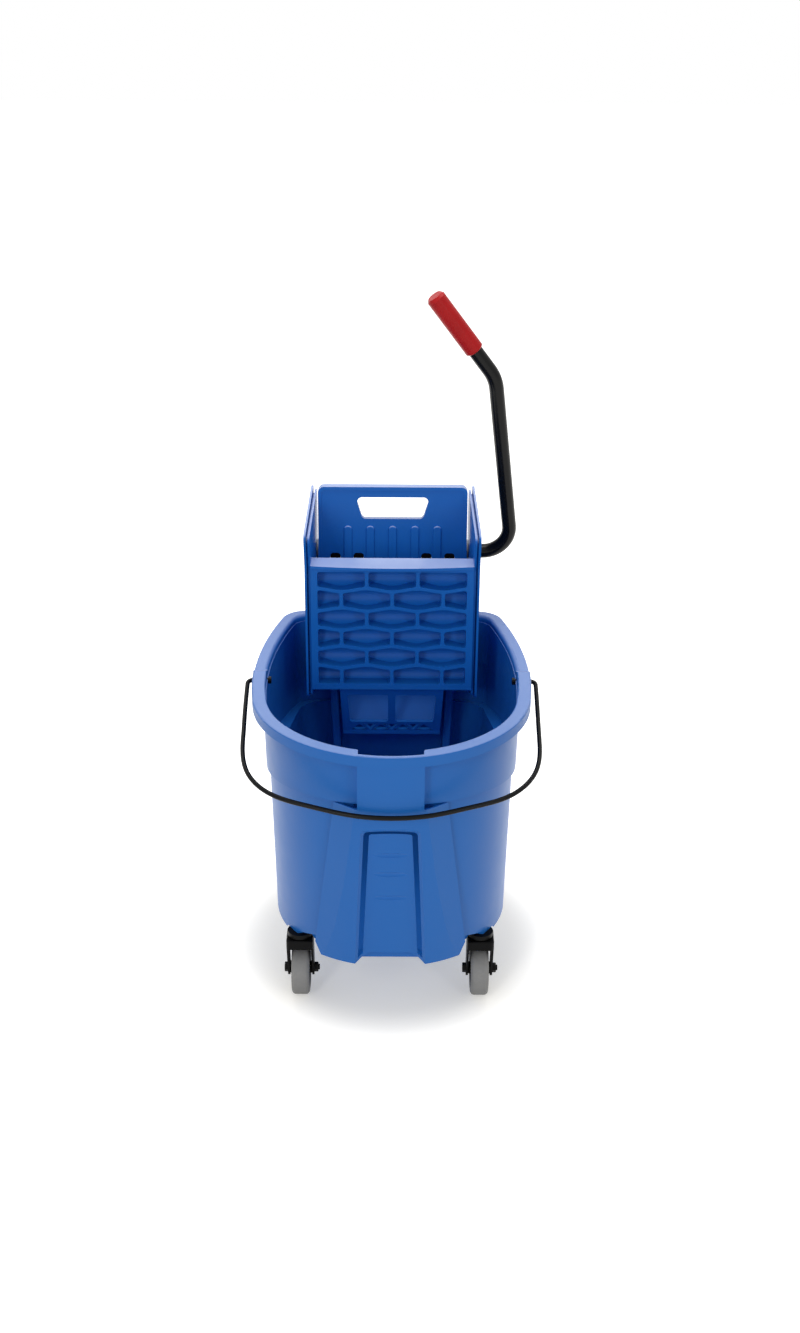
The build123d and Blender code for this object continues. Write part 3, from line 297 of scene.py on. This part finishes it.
@dataclass(frozen=True)
class MouldedPlastic(Finish):
    """Injection-moulded polypropylene: mould grain, faint flow, scuffs and a painted pale sheen on high top
    faces.
    """

    name: str
    colour: Colour
    pale: Colour
    roughness: float = 0.36
    grain_depth: float = 0.00003
    scuffs: float = 0.25
    top_sheen: float = 0.0
    top_sheen_from: float = 0.41
    top_sheen_colour: Colour = (0.50, 0.58, 0.84)
    top_sheen_fade: float = 0.012
    gloss: float = 0.35
    flow_scale: float = 7.0
    cloud_scale: float = 38.0
    grain_scale: float = 1500.0
    orange_scale: float = 210.0
    rub_scale: float = 26.0
    scratch_scale: float = 520.0

    def shader(self, graph: Graph) -> Signal:
        """Build the plastic.

        Args:
            graph: Tree of the material.

        Returns:
            The shader.
        """
        flow = graph.noise(self.flow_scale, 2.0, 0.5, (1.0, 1.0, 0.45))
        cloud = graph.noise(self.cloud_scale, 3.0, 0.5)
        grain = graph.noise(self.grain_scale, 2.0, 0.6)
        orange = graph.noise(self.orange_scale, 2.0, 0.5)
        rubs = graph.noise(self.rub_scale, 5.0, 0.65, (1.0, 1.0, 5.0))
        scratch = graph.noise(self.scratch_scale, 2.0, 0.5, (0.12, 0.12, 2.2))
        scuff = (rubs.ramp(0.60, 0.74) * scratch.ramp(0.52, 0.66)) * self.scuffs
        tone = graph.blend((flow - 0.5) * 0.4 + 0.25, self.colour, self.pale)
        tone = graph.blend(scuff * 0.4, tone, self.pale)
        # Painted highlight: upward faces above a set height are blended towards a pale sheen colour.
        if self.top_sheen:
            height = graph.along(Way.Z).ramp(self.top_sheen_from, self.top_sheen_from + self.top_sheen_fade)
            upward = graph.facing(Way.Z).ramp(0.35, 0.9)
            sheen_patch = cloud * 0.3 + 0.7
            tone = graph.blend(upward * height * sheen_patch * self.top_sheen, tone, self.top_sheen_colour)
        rough = self.roughness + (cloud - 0.5) * 0.10 + scuff * 0.25 + (grain - 0.5) * 0.05
        relief = grain * 0.55 + orange * 0.45 - scuff * 0.3
        inputs = {"Base Color": tone, "Roughness": rough.clamped(), "IOR": 1.49,
                  "Specular IOR Level": self.gloss, "Normal": graph.bump(relief, self.grain_depth)}
        return graph.node("ShaderNodeBsdfPrincipled", {}, inputs)


@dataclass(frozen=True)
class PaintedSteel(Finish):
    """Baked gloss paint on steel, with orange peel, dust nibs and tiny chips."""

    name: str
    colour: Colour
    roughness: float = 0.22
    peel: float = 0.00003
    chips: float = 0.0
    gloss: float = 0.4
    steel: Colour = (0.32, 0.31, 0.30)
    peel_scale: float = 330.0
    nib_scale: float = 260.0
    haze_scale: float = 22.0
    chip_scale: float = 120.0

    def shader(self, graph: Graph) -> Signal:
        """Build the paint.

        Args:
            graph: Tree of the material.

        Returns:
            The shader.
        """
        peel = graph.noise(self.peel_scale, 2.0, 0.45)
        nibs = graph.cells(self.nib_scale).ramp(0.10, 0.02)
        haze = graph.noise(self.haze_scale, 4.0, 0.6)
        spots = graph.noise(self.chip_scale, 4.0, 0.7)
        chip = spots.ramp(0.73, 0.76) * self.chips
        hazed = tuple(c * 1.6 + 0.002 for c in self.colour)
        tone = graph.blend(haze.ramp(0.35, 0.8) * 0.5, self.colour, hazed)
        tone = graph.blend(chip, tone, self.steel)
        rough = self.roughness + (haze - 0.5) * 0.14 + chip * 0.3
        height = peel * 0.8 + nibs * 0.5 - chip * 0.8
        inputs = {"Base Color": tone, "Roughness": rough.clamped(), "Metallic": chip, "IOR": 1.52,
                  "Specular IOR Level": self.gloss, "Normal": graph.bump(height, self.peel)}
        return graph.node("ShaderNodeBsdfPrincipled", {}, inputs)


@dataclass(frozen=True)
class ZincPlate(Finish):
    """Bright zinc plate: fine crystalline mottling, drawn lines and dull patches."""

    name: str
    colour: Colour = (0.62, 0.63, 0.65)
    roughness: float = 0.28
    mottle_scale: float = 140.0
    drawn_scale: float = 900.0
    dull_scale: float = 35.0
    dulled: float = 0.62
    relief_depth: float = 0.00001

    def shader(self, graph: Graph) -> Signal:
        """Build the plating.

        Args:
            graph: Tree of the material.

        Returns:
            The shader.
        """
        mottle = graph.noise(self.mottle_scale, 4.0, 0.65)
        drawn = graph.noise(self.drawn_scale, 2.0, 0.5, (0.04, 1.0, 1.0))
        dull = graph.noise(self.dull_scale, 3.0, 0.6).ramp(0.45, 0.75)
        tone = graph.blend(dull * 0.6, self.colour, tuple(c * self.dulled for c in self.colour))
        rough = self.roughness + (mottle - 0.5) * 0.16 + dull * 0.16
        height = mottle * 0.4 + drawn * 0.6
        inputs = {"Base Color": tone, "Metallic": 1.0, "Roughness": rough.clamped(),
                  "Normal": graph.bump(height, self.relief_depth)}
        return graph.node("ShaderNodeBsdfPrincipled", {}, inputs)


@dataclass(frozen=True)
class SoftGrip(Finish):
    """Dip-moulded soft vinyl, smooth, with a satin skin, hand polish and a faint haze."""

    name: str
    colour: Colour
    deep: Colour
    roughness: float = 0.42
    gloss: float = 0.2
    skin_scale: float = 900.0
    cloud_scale: float = 60.0
    polish_scale: float = 24.0
    skin_depth: float = 0.00002

    def shader(self, graph: Graph) -> Signal:
        """Build the vinyl.

        Args:
            graph: Tree of the material.

        Returns:
            The shader.
        """
        skin = graph.noise(self.skin_scale, 2.0, 0.5)
        cloud = graph.noise(self.cloud_scale, 3.0, 0.5)
        polish = graph.noise(self.polish_scale, 3.0, 0.6).ramp(0.4, 0.7)
        tone = graph.blend(cloud.ramp(0.3, 0.8) * 0.4, self.colour, self.deep)
        rough = self.roughness - polish * 0.10 + (skin - 0.5) * 0.06
        inputs = {"Base Color": tone, "Roughness": rough.clamped(), "IOR": 1.5,
                  "Specular IOR Level": self.gloss, "Normal": graph.bump(skin, self.skin_depth)}
        return graph.node("ShaderNodeBsdfPrincipled", {}, inputs)


@dataclass(frozen=True)
class GreyRubber(Finish):
    """Non-marking grey thermoplastic rubber: matt, with moulding haze and floor dust on the tread."""

    name: str
    colour: Colour
    dust: Colour
    roughness: float = 0.62
    grain_scale: float = 1300.0
    haze_scale: float = 45.0
    dust_scale: float = 160.0
    dust_height: float = 0.012
    hazed: float = 0.82
    grain_depth: float = 0.00005

    def shader(self, graph: Graph) -> Signal:
        """Build the rubber.

        Args:
            graph: Tree of the material.

        Returns:
            The shader.
        """
        grain = graph.noise(self.grain_scale, 3.0, 0.6)
        haze = graph.noise(self.haze_scale, 4.0, 0.6)
        low = graph.along(Way.Z).ramp(self.dust_height, 0.0)
        specks = graph.noise(self.dust_scale, 4.0, 0.7).ramp(0.40, 0.7)
        dusty = (specks * (0.25 + low * 0.6)).clamped()
        darker = tuple(c * self.hazed for c in self.colour)
        tone = graph.blend(haze.ramp(0.3, 0.75) * 0.5, self.colour, darker)
        tone = graph.blend(dusty * 0.5, tone, self.dust)
        rough = self.roughness + (haze - 0.5) * 0.15 + dusty * 0.2
        inputs = {"Base Color": tone, "Roughness": rough.clamped(), "IOR": 1.48,
                  "Normal": graph.bump(grain, self.grain_depth)}
        return graph.node("ShaderNodeBsdfPrincipled", {}, inputs)


BUCKET_BLUE = MouldedPlastic("bucket_blue", srgb(24, 100, 184), srgb(40, 116, 200), 0.36,
                             top_sheen=0.34, gloss=0.25)
WRINGER_BLUE = MouldedPlastic("wringer_blue", srgb(18, 100, 190), srgb(34, 116, 206), 0.36,
                              top_sheen=0.75, top_sheen_from=0.54, gloss=0.22)
BLACK_TUBE = PaintedSteel("black_tube", srgb(10, 10, 11), 0.2, peel=0.000015, chips=0.0, gloss=0.16)
BLACK_WIRE = PaintedSteel("black_wire", srgb(10, 10, 11), 0.3, peel=0.00002, chips=0.2, gloss=0.12)
BLACK_FORK = PaintedSteel("black_fork", srgb(9, 9, 10), 0.36, peel=0.00003, chips=0.1, gloss=0.06)
# Black for the stems, bolts and nuts, and also the painted shade of the screws' driver recesses.
BLACK_ZINC_AND_RECESS_SHADE = PaintedSteel("black_zinc_and_recess_shade", srgb(10, 10, 11), 0.38, peel=0.00002, chips=0.1, gloss=0.08)
# Black for the cams and cap, and also the painted shade in the press plate's drain holes.
BLACK_MOULDING_AND_HOLE_SHADE = MouldedPlastic("black_moulding_and_hole_shade", srgb(12, 12, 13), srgb(20, 20, 21), 0.45, gloss=0.08)
NYLON = MouldedPlastic("natural_nylon", srgb(224, 222, 210), srgb(236, 234, 226), 0.4)
RED_GRIP = SoftGrip("red_grip", srgb(178, 20, 24), srgb(150, 12, 18))
ZINC = ZincPlate("zinc_plate")
TYRE_GREY = GreyRubber("tyre_grey", srgb(140, 140, 140), srgb(172, 171, 168))
HUB_BLACK = MouldedPlastic("hub_black", srgb(12, 12, 13), srgb(20, 20, 21), 0.5, gloss=0.06)


class GeometryTool:
    """A geometry-node group with named inputs that repeats a form and is run once for each piece."""

    KINDS = {"Form": "NodeSocketObject", "Finish": "NodeSocketMaterial", "Count": "NodeSocketInt",
             "Radius": "NodeSocketFloat", "Centre": "NodeSocketVector", "Turn": "NodeSocketVector"}

    def __init__(self, name: str, inputs: Sequence[str]) -> None:
        """Make the empty group.

        Args:
            name: Name of the group.
            inputs: Names of its inputs, after the geometry.
        """
        self.tree = bpy.data.node_groups.new(name, "GeometryNodeTree")
        sockets = self.tree.interface
        sockets.new_socket("Geometry", in_out="INPUT", socket_type="NodeSocketGeometry")
        self.sockets = {key: sockets.new_socket(key, in_out="INPUT", socket_type=self.KINDS[key])
                        for key in inputs}
        sockets.new_socket("Geometry", in_out="OUTPUT", socket_type="NodeSocketGeometry")
        self.given = self.tree.nodes.new("NodeGroupInput")

    def node(self, kind: str, settings: Dict[str, Any], links: Dict[Union[int, str], Any]) -> bpy.types.Node:
        """Add a node.

        Args:
            kind: Blender's type name of the node.
            settings: Properties that are set first.
            links: Sockets or plain values for its inputs.

        Returns:
            The new node.
        """
        node = self.tree.nodes.new(kind)
        for key, value in settings.items():
            setattr(node, key, value)
        for key, value in links.items():
            if isinstance(value, bpy.types.NodeSocket):
                self.tree.links.new(value, node.inputs[key])
            else:
                node.inputs[key].default_value = value
        return node

    def finish(self, instances: bpy.types.NodeSocket) -> None:
        """Realize the instances, give them their material and end the group."""
        real = self.node("GeometryNodeRealizeInstances", {}, {"Geometry": instances})
        links = {"Geometry": real.outputs["Geometry"], "Material": self.given.outputs["Finish"]}
        dressed = self.node("GeometryNodeSetMaterial", {}, links)
        self.node("NodeGroupOutput", {}, {0: dressed.outputs["Geometry"]})

    def run(self, name: str, places: bpy.types.Mesh, body: str, slot: str,
            values: Dict[str, Any]) -> bpy.types.Object:
        """Run the group on a mesh of places and keep the result as a piece of a body.

        Args:
            name: Name of the new piece.
            places: Mesh whose points the group starts from.
            body: The body that carries the piece.
            slot: Not used.
            values: The group's named inputs.

        Returns:
            The finished piece.
        """
        start = bpy.data.objects.new(name + "_places", places)
        link(start)
        modifier = start.modifiers.new("repeat", "NODES")
        modifier.node_group = self.tree
        for key, value in values.items():
            modifier[self.sockets[key].identifier] = value
        start.update_tag()
        bpy.context.view_layer.update()
        repeated = start.evaluated_get(bpy.context.evaluated_depsgraph_get())
        mesh = bpy.data.meshes.new_from_object(repeated)
        start.modifiers.remove(modifier)
        bpy.data.objects.remove(start)
        piece = bpy.data.objects.new(name, mesh)
        link(piece)
        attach(piece, body)
        return piece


def link(piece: bpy.types.Object) -> None:
    """Put an object into the scene."""
    bpy.context.scene.collection.objects.link(piece)


def placed_forms() -> GeometryTool:
    """Make the tool that sets one form at each point, turned by the point's own facing."""
    tool = GeometryTool("placed_forms", ("Form", "Finish"))
    form = tool.node("GeometryNodeObjectInfo", {}, {"Object": tool.given.outputs["Form"]})
    facing = tool.node("GeometryNodeInputNamedAttribute", {"data_type": "FLOAT_VECTOR"}, {"Name": "facing"})
    turn = tool.node("FunctionNodeEulerToRotation", {}, {"Euler": facing.outputs["Attribute"]})
    links = {"Points": tool.given.outputs["Geometry"], "Instance": form.outputs["Geometry"],
             "Rotation": turn.outputs["Rotation"]}
    tool.finish(tool.node("GeometryNodeInstanceOnPoints", {}, links).outputs["Instances"])
    return tool


def ring_of_forms() -> GeometryTool:
    """Make the tool that sets a form round a circle, each one pointing outwards."""
    tool = GeometryTool("ring_of_forms", ("Form", "Finish", "Count", "Radius", "Centre", "Turn"))
    given = tool.given.outputs
    form = tool.node("GeometryNodeObjectInfo", {}, {"Object": given["Form"]})
    circle = tool.node("GeometryNodeMeshCircle", {}, {"Vertices": given["Count"], "Radius": given["Radius"]})
    place = tool.node("GeometryNodeInputPosition", {}, {})
    out = tool.node("FunctionNodeAlignRotationToVector", {"axis": "X"}, {"Vector": place.outputs["Position"]})
    links = {"Points": circle.outputs["Mesh"], "Instance": form.outputs["Geometry"],
             "Rotation": out.outputs["Rotation"]}
    ring = tool.node("GeometryNodeInstanceOnPoints", {}, links)
    links = {"Geometry": ring.outputs["Instances"], "Translation": given["Centre"], "Rotation": given["Turn"]}
    tool.finish(tool.node("GeometryNodeTransform", {}, links).outputs["Geometry"])
    return tool


@dataclass(frozen=True)
class Form:
    """A small closed solid: an outline in its own YZ plane, pushed out along its X axis."""

    name: str
    outline: Tuple[Tuple[float, float], ...]
    depth: float
    start: float = 0.0
    edge: float = 0.0

    def build(self) -> bpy.types.Object:
        """Make the solid as an object that a tool can repeat.

        Returns:
            The object.
        """
        shape = bmesh.new()
        rings = [[shape.verts.new((x, y, z)) for y, z in self.outline]
                 for x in (self.start, self.start + self.depth)]
        shape.faces.new(rings[0])
        shape.faces.new(rings[1])
        for i, here in enumerate(rings[0]):
            shape.faces.new((here, rings[0][i - 1], rings[1][i - 1], rings[1][i]))
        if self.edge:
            top = next(face for face in shape.faces if all(v in rings[1] for v in face.verts))
            bmesh.ops.bevel(shape, geom=list(top.edges), offset=self.edge, segments=2, affect="EDGES")
        bmesh.ops.recalc_face_normals(shape, faces=shape.faces)
        mesh = bpy.data.meshes.new(self.name)
        shape.to_mesh(mesh)
        shape.free()
        made = bpy.data.objects.new(self.name, mesh)
        link(made)
        return made


def block(width: float, height: float) -> Tuple[Tuple[float, float], ...]:
    """Outline of a rectangle, width along Y and height along Z, round the origin."""
    y, z = width / 2, height / 2
    return (-y, -z), (y, -z), (y, z), (-y, z)


def cross(span: float, arm: float) -> Tuple[Tuple[float, float], ...]:
    """Outline of a cross-head driver's recess."""
    s, a = span / 2, arm / 2
    quarter = ((s, -a), (s, a), (a, a))
    turns = ((1, 0), (0, 1), (-1, 0), (0, -1))
    return tuple((c * y - d * z, d * y + c * z) for c, d in turns for y, z in quarter)


def places_mesh(name: str, places: Sequence[Tuple[Vector, Euler]]) -> bpy.types.Mesh:
    """Make a mesh of single points that know which way they face.

    Args:
        name: Name of the mesh.
        places: Position and turn of each point.

    Returns:
        The mesh.
    """
    mesh = bpy.data.meshes.new(name)
    mesh.from_pydata([tuple(at) for at, _ in places], [], [])
    facing = mesh.attributes.new("facing", "FLOAT_VECTOR", "POINT")
    for item, (_, turn) in zip(facing.data, places):
        item.vector = tuple(turn)
    return mesh


def corners(points: Sequence[Vector]) -> Tuple[Vector, Vector]:
    """Low and high corner of a set of points, in metres."""
    low = Vector([min(point[i] for point in points) for i in range(3)])
    high = Vector([max(point[i] for point in points) for i in range(3)])
    return low, high


def islands(node: str) -> List[Tuple[Vector, Vector]]:
    """Low and high corner of each separate solid in a CAD node's mesh, in metres."""
    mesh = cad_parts[node].data
    group = list(range(len(mesh.vertices)))

    def root(i: int) -> int:
        """Follow a vertex to the first one of its solid."""
        while group[i] != i:
            group[i] = group[group[i]]
            i = group[i]
        return i

    spots: Dict[Tuple[float, ...], int] = {}
    for i, vertex in enumerate(mesh.vertices):
        first = spots.setdefault(tuple(round(value, 6) for value in vertex.co), i)
        group[i] = first
    for edge in mesh.edges:
        group[root(edge.vertices[0])] = root(edge.vertices[1])
    solids: Dict[int, List[Vector]] = {}
    for i, vertex in enumerate(mesh.vertices):
        solids.setdefault(root(i), []).append(vertex.co)
    return [corners(points) for points in solids.values()]


@dataclass
class Bucket:
    """The bucket moulding and the swivel stems under it."""

    def dress(self) -> None:
        """Give the moulding and the stems their finishes."""
        BUCKET_BLUE.wear("bucket_body")
        BLACK_ZINC_AND_RECESS_SHADE.wear("caster_stems")


@dataclass
class Casters:
    """Four swivel casters: fork, axle and wheel, with the ribs of the wheel centres."""

    places: Tuple[str, ...] = ("front_left", "front_right", "rear_left", "rear_right")
    bodies: Tuple[str, ...] = ("wheel_fl", "wheel_fr", "wheel_rl", "wheel_rr")
    ribs: int = 8
    rib_from: float = 0.0098
    rib_length: float = 0.0128
    rib_thick: float = 0.0018
    rib_depth: float = 0.0056
    web: float = 0.0040

    def dress(self) -> None:
        """Give each caster's pieces their finishes and add the ribs."""
        ring = ring_of_forms()
        rib = Form("wheel_rib", block(self.rib_thick, self.rib_depth), self.rib_length).build()
        for place, body in zip(self.places, self.bodies):
            BLACK_FORK.wear(f"caster_fork_{place}")
            BLACK_ZINC_AND_RECESS_SHADE.wear(f"axle_bolt_{place}")
            BLACK_ZINC_AND_RECESS_SHADE.wear(f"axle_nut_{place}")
            HUB_BLACK.wear(f"wheel_hub_{place}")
            TYRE_GREY.wear(f"tyre_{place}")
            low, high = corners([vertex.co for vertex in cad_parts[f"tyre_{place}"].data.vertices])
            middle = (low + high) / 2
            for side in (-1, 1):
                centre = middle + Vector((side * (self.web + self.rib_depth / 2), 0.0, 0.0))
                values = {"Form": rib, "Finish": HUB_BLACK.material(), "Count": self.ribs,
                          "Radius": self.rib_from, "Centre": tuple(centre), "Turn": (0.0, pi / 2, 0.0)}
                name = f"wheel_ribs_{place}_{'right' if side > 0 else 'left'}"
                ring.run(name, bpy.data.meshes.new(name), body, "grey_wheel", values)
        bpy.data.objects.remove(rib)


@dataclass
class Bail:
    """The wire carrying handle."""

    def dress(self) -> None:
        """Paint the wire."""
        BLACK_WIRE.wear("bail_handle")


@dataclass
class Wringer:
    """The fixed housing of the wringer, with black crosses on its screw heads as painted shade of their driver
    recesses.
    """

    mouldings: Tuple[str, ...] = ("wringer_side_plate_left", "wringer_side_plate_right",
                                  "wringer_front_panel", "drain_grille", "rear_hanger")
    fixings: Tuple[str, ...] = ("hinge_rod", "hinge_rod_caps", "housing_screws", "return_springs")
    recess_span: float = 0.0052
    recess_arm: float = 0.0012
    recess_depth: float = 0.0004
    recess_proud: float = 0.00006
    recess_turn: float = 0.6

    def dress(self) -> None:
        """Give the mouldings and the steel pieces their finishes and add the black crosses that paint the
        recesses' shade.
        """
        for node in self.mouldings:
            WRINGER_BLUE.wear(node)
        for node in self.fixings:
            ZINC.wear(node)
        NYLON.wear("shaft_bushings")
        outline = cross(self.recess_span, self.recess_arm)
        start = self.recess_proud - self.recess_depth
        # Painted shade: a black cross standing just proud of each bright screw head stands for the dark
        # recess.
        recess = Form("driver_recess", outline, self.recess_depth, start).build()
        places = []
        for low, high in islands("housing_screws"):
            middle = (low + high) / 2
            right = middle.x > 0
            head = Vector((high.x if right else low.x, middle.y, middle.z))
            places.append((head, Euler((self.recess_turn, 0.0, 0.0 if right else pi))))
        values = {"Form": recess, "Finish": BLACK_ZINC_AND_RECESS_SHADE.material()}
        mesh = places_mesh("screw_recesses", places)
        placed_forms().run("screw_recesses", mesh, "wringer", "zinc_steel", values)
        bpy.data.objects.remove(recess)


@dataclass
class PressPlate:
    """The moving plate with its rubbing pads, and black blocks set in its drain holes as painted shade."""

    hinge: Tuple[float, float] = (0.195, 0.344)
    lean: float = 5.7
    face: float = 0.006
    hole_shade_across: Tuple[float, ...] = (-0.0835, -0.0495, 0.0495, 0.0835)
    hole_shade_up: float = 0.173
    hole_shade_size: Tuple[float, float] = (0.0146, 0.0276)
    hole_shade_depth: float = 0.0026
    hole_shade_behind: float = 0.0012
    hole_shade_edge: float = 0.0006

    def dress(self) -> None:
        """Give the plate and its pads their finishes and set black blocks in the drain holes as painted shade.
        """
        WRINGER_BLUE.wear("press_plate")
        NYLON.wear("rub_pads")
        tilt = radians(self.lean)
        front = Vector((0.0, -cos(tilt), sin(tilt)))
        up = Vector((0.0, sin(tilt), cos(tilt)))
        turn = Matrix((front, up.cross(front), up)).transposed().to_euler()
        foot = Vector((0.0, *self.hinge)) + up * self.hole_shade_up + front * (self.face - self.hole_shade_behind)
        places = [(foot + Vector((x, 0.0, 0.0)), turn) for x in self.hole_shade_across]
        outline = block(*self.hole_shade_size)
        # Painted shade: black blocks just behind the plate's face fill its four drain holes so they stand
        # dark.
        shade_block = Form("pad_clip", outline, self.hole_shade_depth, -self.hole_shade_depth, self.hole_shade_edge).build()
        values = {"Form": shade_block, "Finish": BLACK_MOULDING_AND_HOLE_SHADE.material()}
        mesh = places_mesh("pad_clips", places)
        placed_forms().run("pad_clips", mesh, "press_plate", "black_plastic", values)
        bpy.data.objects.remove(shade_block)


@dataclass
class Crank:
    """The bent crank with its grip and cams."""

    def dress(self) -> None:
        """Give the tube, grip, cams and caps their finishes."""
        BLACK_TUBE.wear("crank_tube")
        RED_GRIP.wear("crank_grip")
        BLACK_MOULDING_AND_HOLE_SHADE.wear("press_cams")
        BLACK_MOULDING_AND_HOLE_SHADE.wear("shaft_cap")
        ZINC.wear("cam_pins")


@dataclass(frozen=True)
class Softbox:
    """A soft rectangular lamp: where it hangs, what it faces, its width and height, and its power."""

    name: str
    at: Tuple[float, float, float]
    aim: Tuple[float, float, float]
    size: Tuple[float, float]
    watts: float

    def hang(self) -> None:
        """Add the lamp to the scene."""
        data = bpy.data.lights.new(self.name, "AREA")
        data.shape = "RECTANGLE"
        data.size, data.size_y = self.size
        data.energy = self.watts
        lamp = bpy.data.objects.new(self.name, data)
        lamp.location = self.at
        lamp.rotation_euler = (Vector(self.aim) - Vector(self.at)).to_track_quat("-Z", "Y").to_euler()
        link(lamp)


@dataclass
class Studio:
    """Pale floor, soft lamps, a white surround and the camera."""

    target: Tuple[float, float, float] = (0.0114, 0.0, 0.445)
    distance: float = 2.424
    elevation: float = 25.3
    azimuth: float = -0.2
    roll: float = 0.4
    lens: float = 47.48
    sensor: float = 36.0
    ambient: float = 0.47
    near_glow: float = 0.33
    shadow_edge: Tuple[float, float] = (0.17, 0.31)
    floor_half: float = 9.0
    floor_pale: Colour = (0.84, 0.82, 0.76)
    floor_deep: Colour = (0.80, 0.78, 0.73)
    speck_scale: float = 60.0
    lamps: Tuple[Softbox, ...] = (
        Softbox("top_softbox", (0.0, 0.4, 2.65), (0, 0, 0.4), (1.4, 1.4), 27.0),
        Softbox("left_strip", (-1.3, -2.9, 1.7), (0, 0, 0.45), (0.5, 1.9), 22.0),
        Softbox("right_strip", (1.7, -2.6, 1.5), (0, 0, 0.4), (0.5, 1.7), 9.5),
        Softbox("back_strip", (0.0, 2.6, 1.75), (0, 0, 0.5), (1.6, 0.5), 7.0),
    )

    def camera(self) -> None:
        """Set up the camera at the product's high front view."""
        data = bpy.data.cameras.new("camera")
        data.sensor_fit = "VERTICAL"
        data.sensor_height = self.sensor
        data.lens = self.lens
        data.clip_end = 50.0
        rise, turn = radians(self.elevation), radians(self.azimuth)
        away = Vector((sin(turn) * cos(rise), -cos(turn) * cos(rise), sin(rise)))
        camera = bpy.data.objects.new("camera", data)
        camera.location = Vector(self.target) + away * self.distance
        level = Euler((radians(90.0) - rise, 0.0, turn)).to_matrix()
        camera.rotation_euler = (level @ Matrix.Rotation(radians(self.roll), 3, "Z")).to_euler()
        link(camera)
        bpy.context.scene.camera = camera

    def seen(self, graph: Graph) -> Signal:
        """1 where the camera, a reflection or a refraction looks, and 0 for other rays."""
        path = graph.raw("ShaderNodeLightPath", {}, {})
        camera, glossy, clear = (Signal(graph, path.outputs[f"Is {kind} Ray"])
                                 for kind in ("Camera", "Glossy", "Transmission"))
        return (camera + glossy + clear).clamped()

    def world(self) -> None:
        """White surround where it is seen, and plain soft light elsewhere."""
        world = bpy.data.worlds.new("surround")
        bpy.context.scene.world = world
        world.use_nodes = True
        graph = Graph(world.node_tree)
        strength = self.ambient + self.seen(graph) * (1.0 - self.ambient)
        back = graph.node("ShaderNodeBackground", {}, {"Color": (1.0, 1.0, 1.0), "Strength": strength})
        graph.raw("ShaderNodeOutputWorld", {}, {"Surface": back})

    def floor(self) -> None:
        """A pale floor that shows only the object's soft shadow; its painted glow is weaker near the object
        and full white beyond a set ring, where the shadow is cut off.
        """
        mesh = bpy.data.meshes.new("floor")
        half = self.floor_half
        spots = [(-half, -half, 0), (half, -half, 0), (half, half, 0), (-half, half, 0)]
        mesh.from_pydata(spots, [], [(0, 1, 2, 3)])
        floor = bpy.data.objects.new("floor", mesh)
        link(floor)
        made = bpy.data.materials.new("pale_floor")
        made.use_nodes = True
        graph = Graph(made.node_tree)
        speck = graph.noise(self.speck_scale, 4.0, 0.6)
        tone = graph.blend(speck * 0.15, self.floor_pale, self.floor_deep)
        matt = graph.node("ShaderNodeBsdfDiffuse", {}, {"Color": tone})
        # Painted light: the floor's glow rises from near_glow to full white between the two radii of
        # shadow_edge, so the shadow shows only near the object.
        away = graph.node("ShaderNodeVectorMath", {"operation": "LENGTH"}, {0: graph.place()}, "Value")
        lit = self.near_glow + away.ramp(*self.shadow_edge) * (1.0 - self.near_glow)
        inputs = {"Color": (1.0, 1.0, 1.0), "Strength": self.seen(graph) * lit}
        glow = graph.node("ShaderNodeEmission", {}, inputs)
        graph.surface(graph.node("ShaderNodeAddShader", {}, {0: matt, 1: glow}))
        floor.data.materials.append(made)

    def set_up(self) -> None:
        """Make the floor, the surround, the lamps and the camera."""
        self.floor()
        self.world()
        for lamp in self.lamps:
            lamp.hang()
        self.camera()
        bpy.context.scene.view_settings.view_transform = "Standard"


def main() -> None:
    """Dress every sub-assembly in order and set up the studio."""
    logging.basicConfig(level=logging.INFO, format="%(name)s: %(message)s")
    for part in (Bucket(), Casters(), Bail(), Wringer(), PressPlate(), Crank()):
        part.dress()
        LOG.info("%s dressed", type(part).__name__)
    Studio().set_up()


if __name__ == "__main__":
    main()
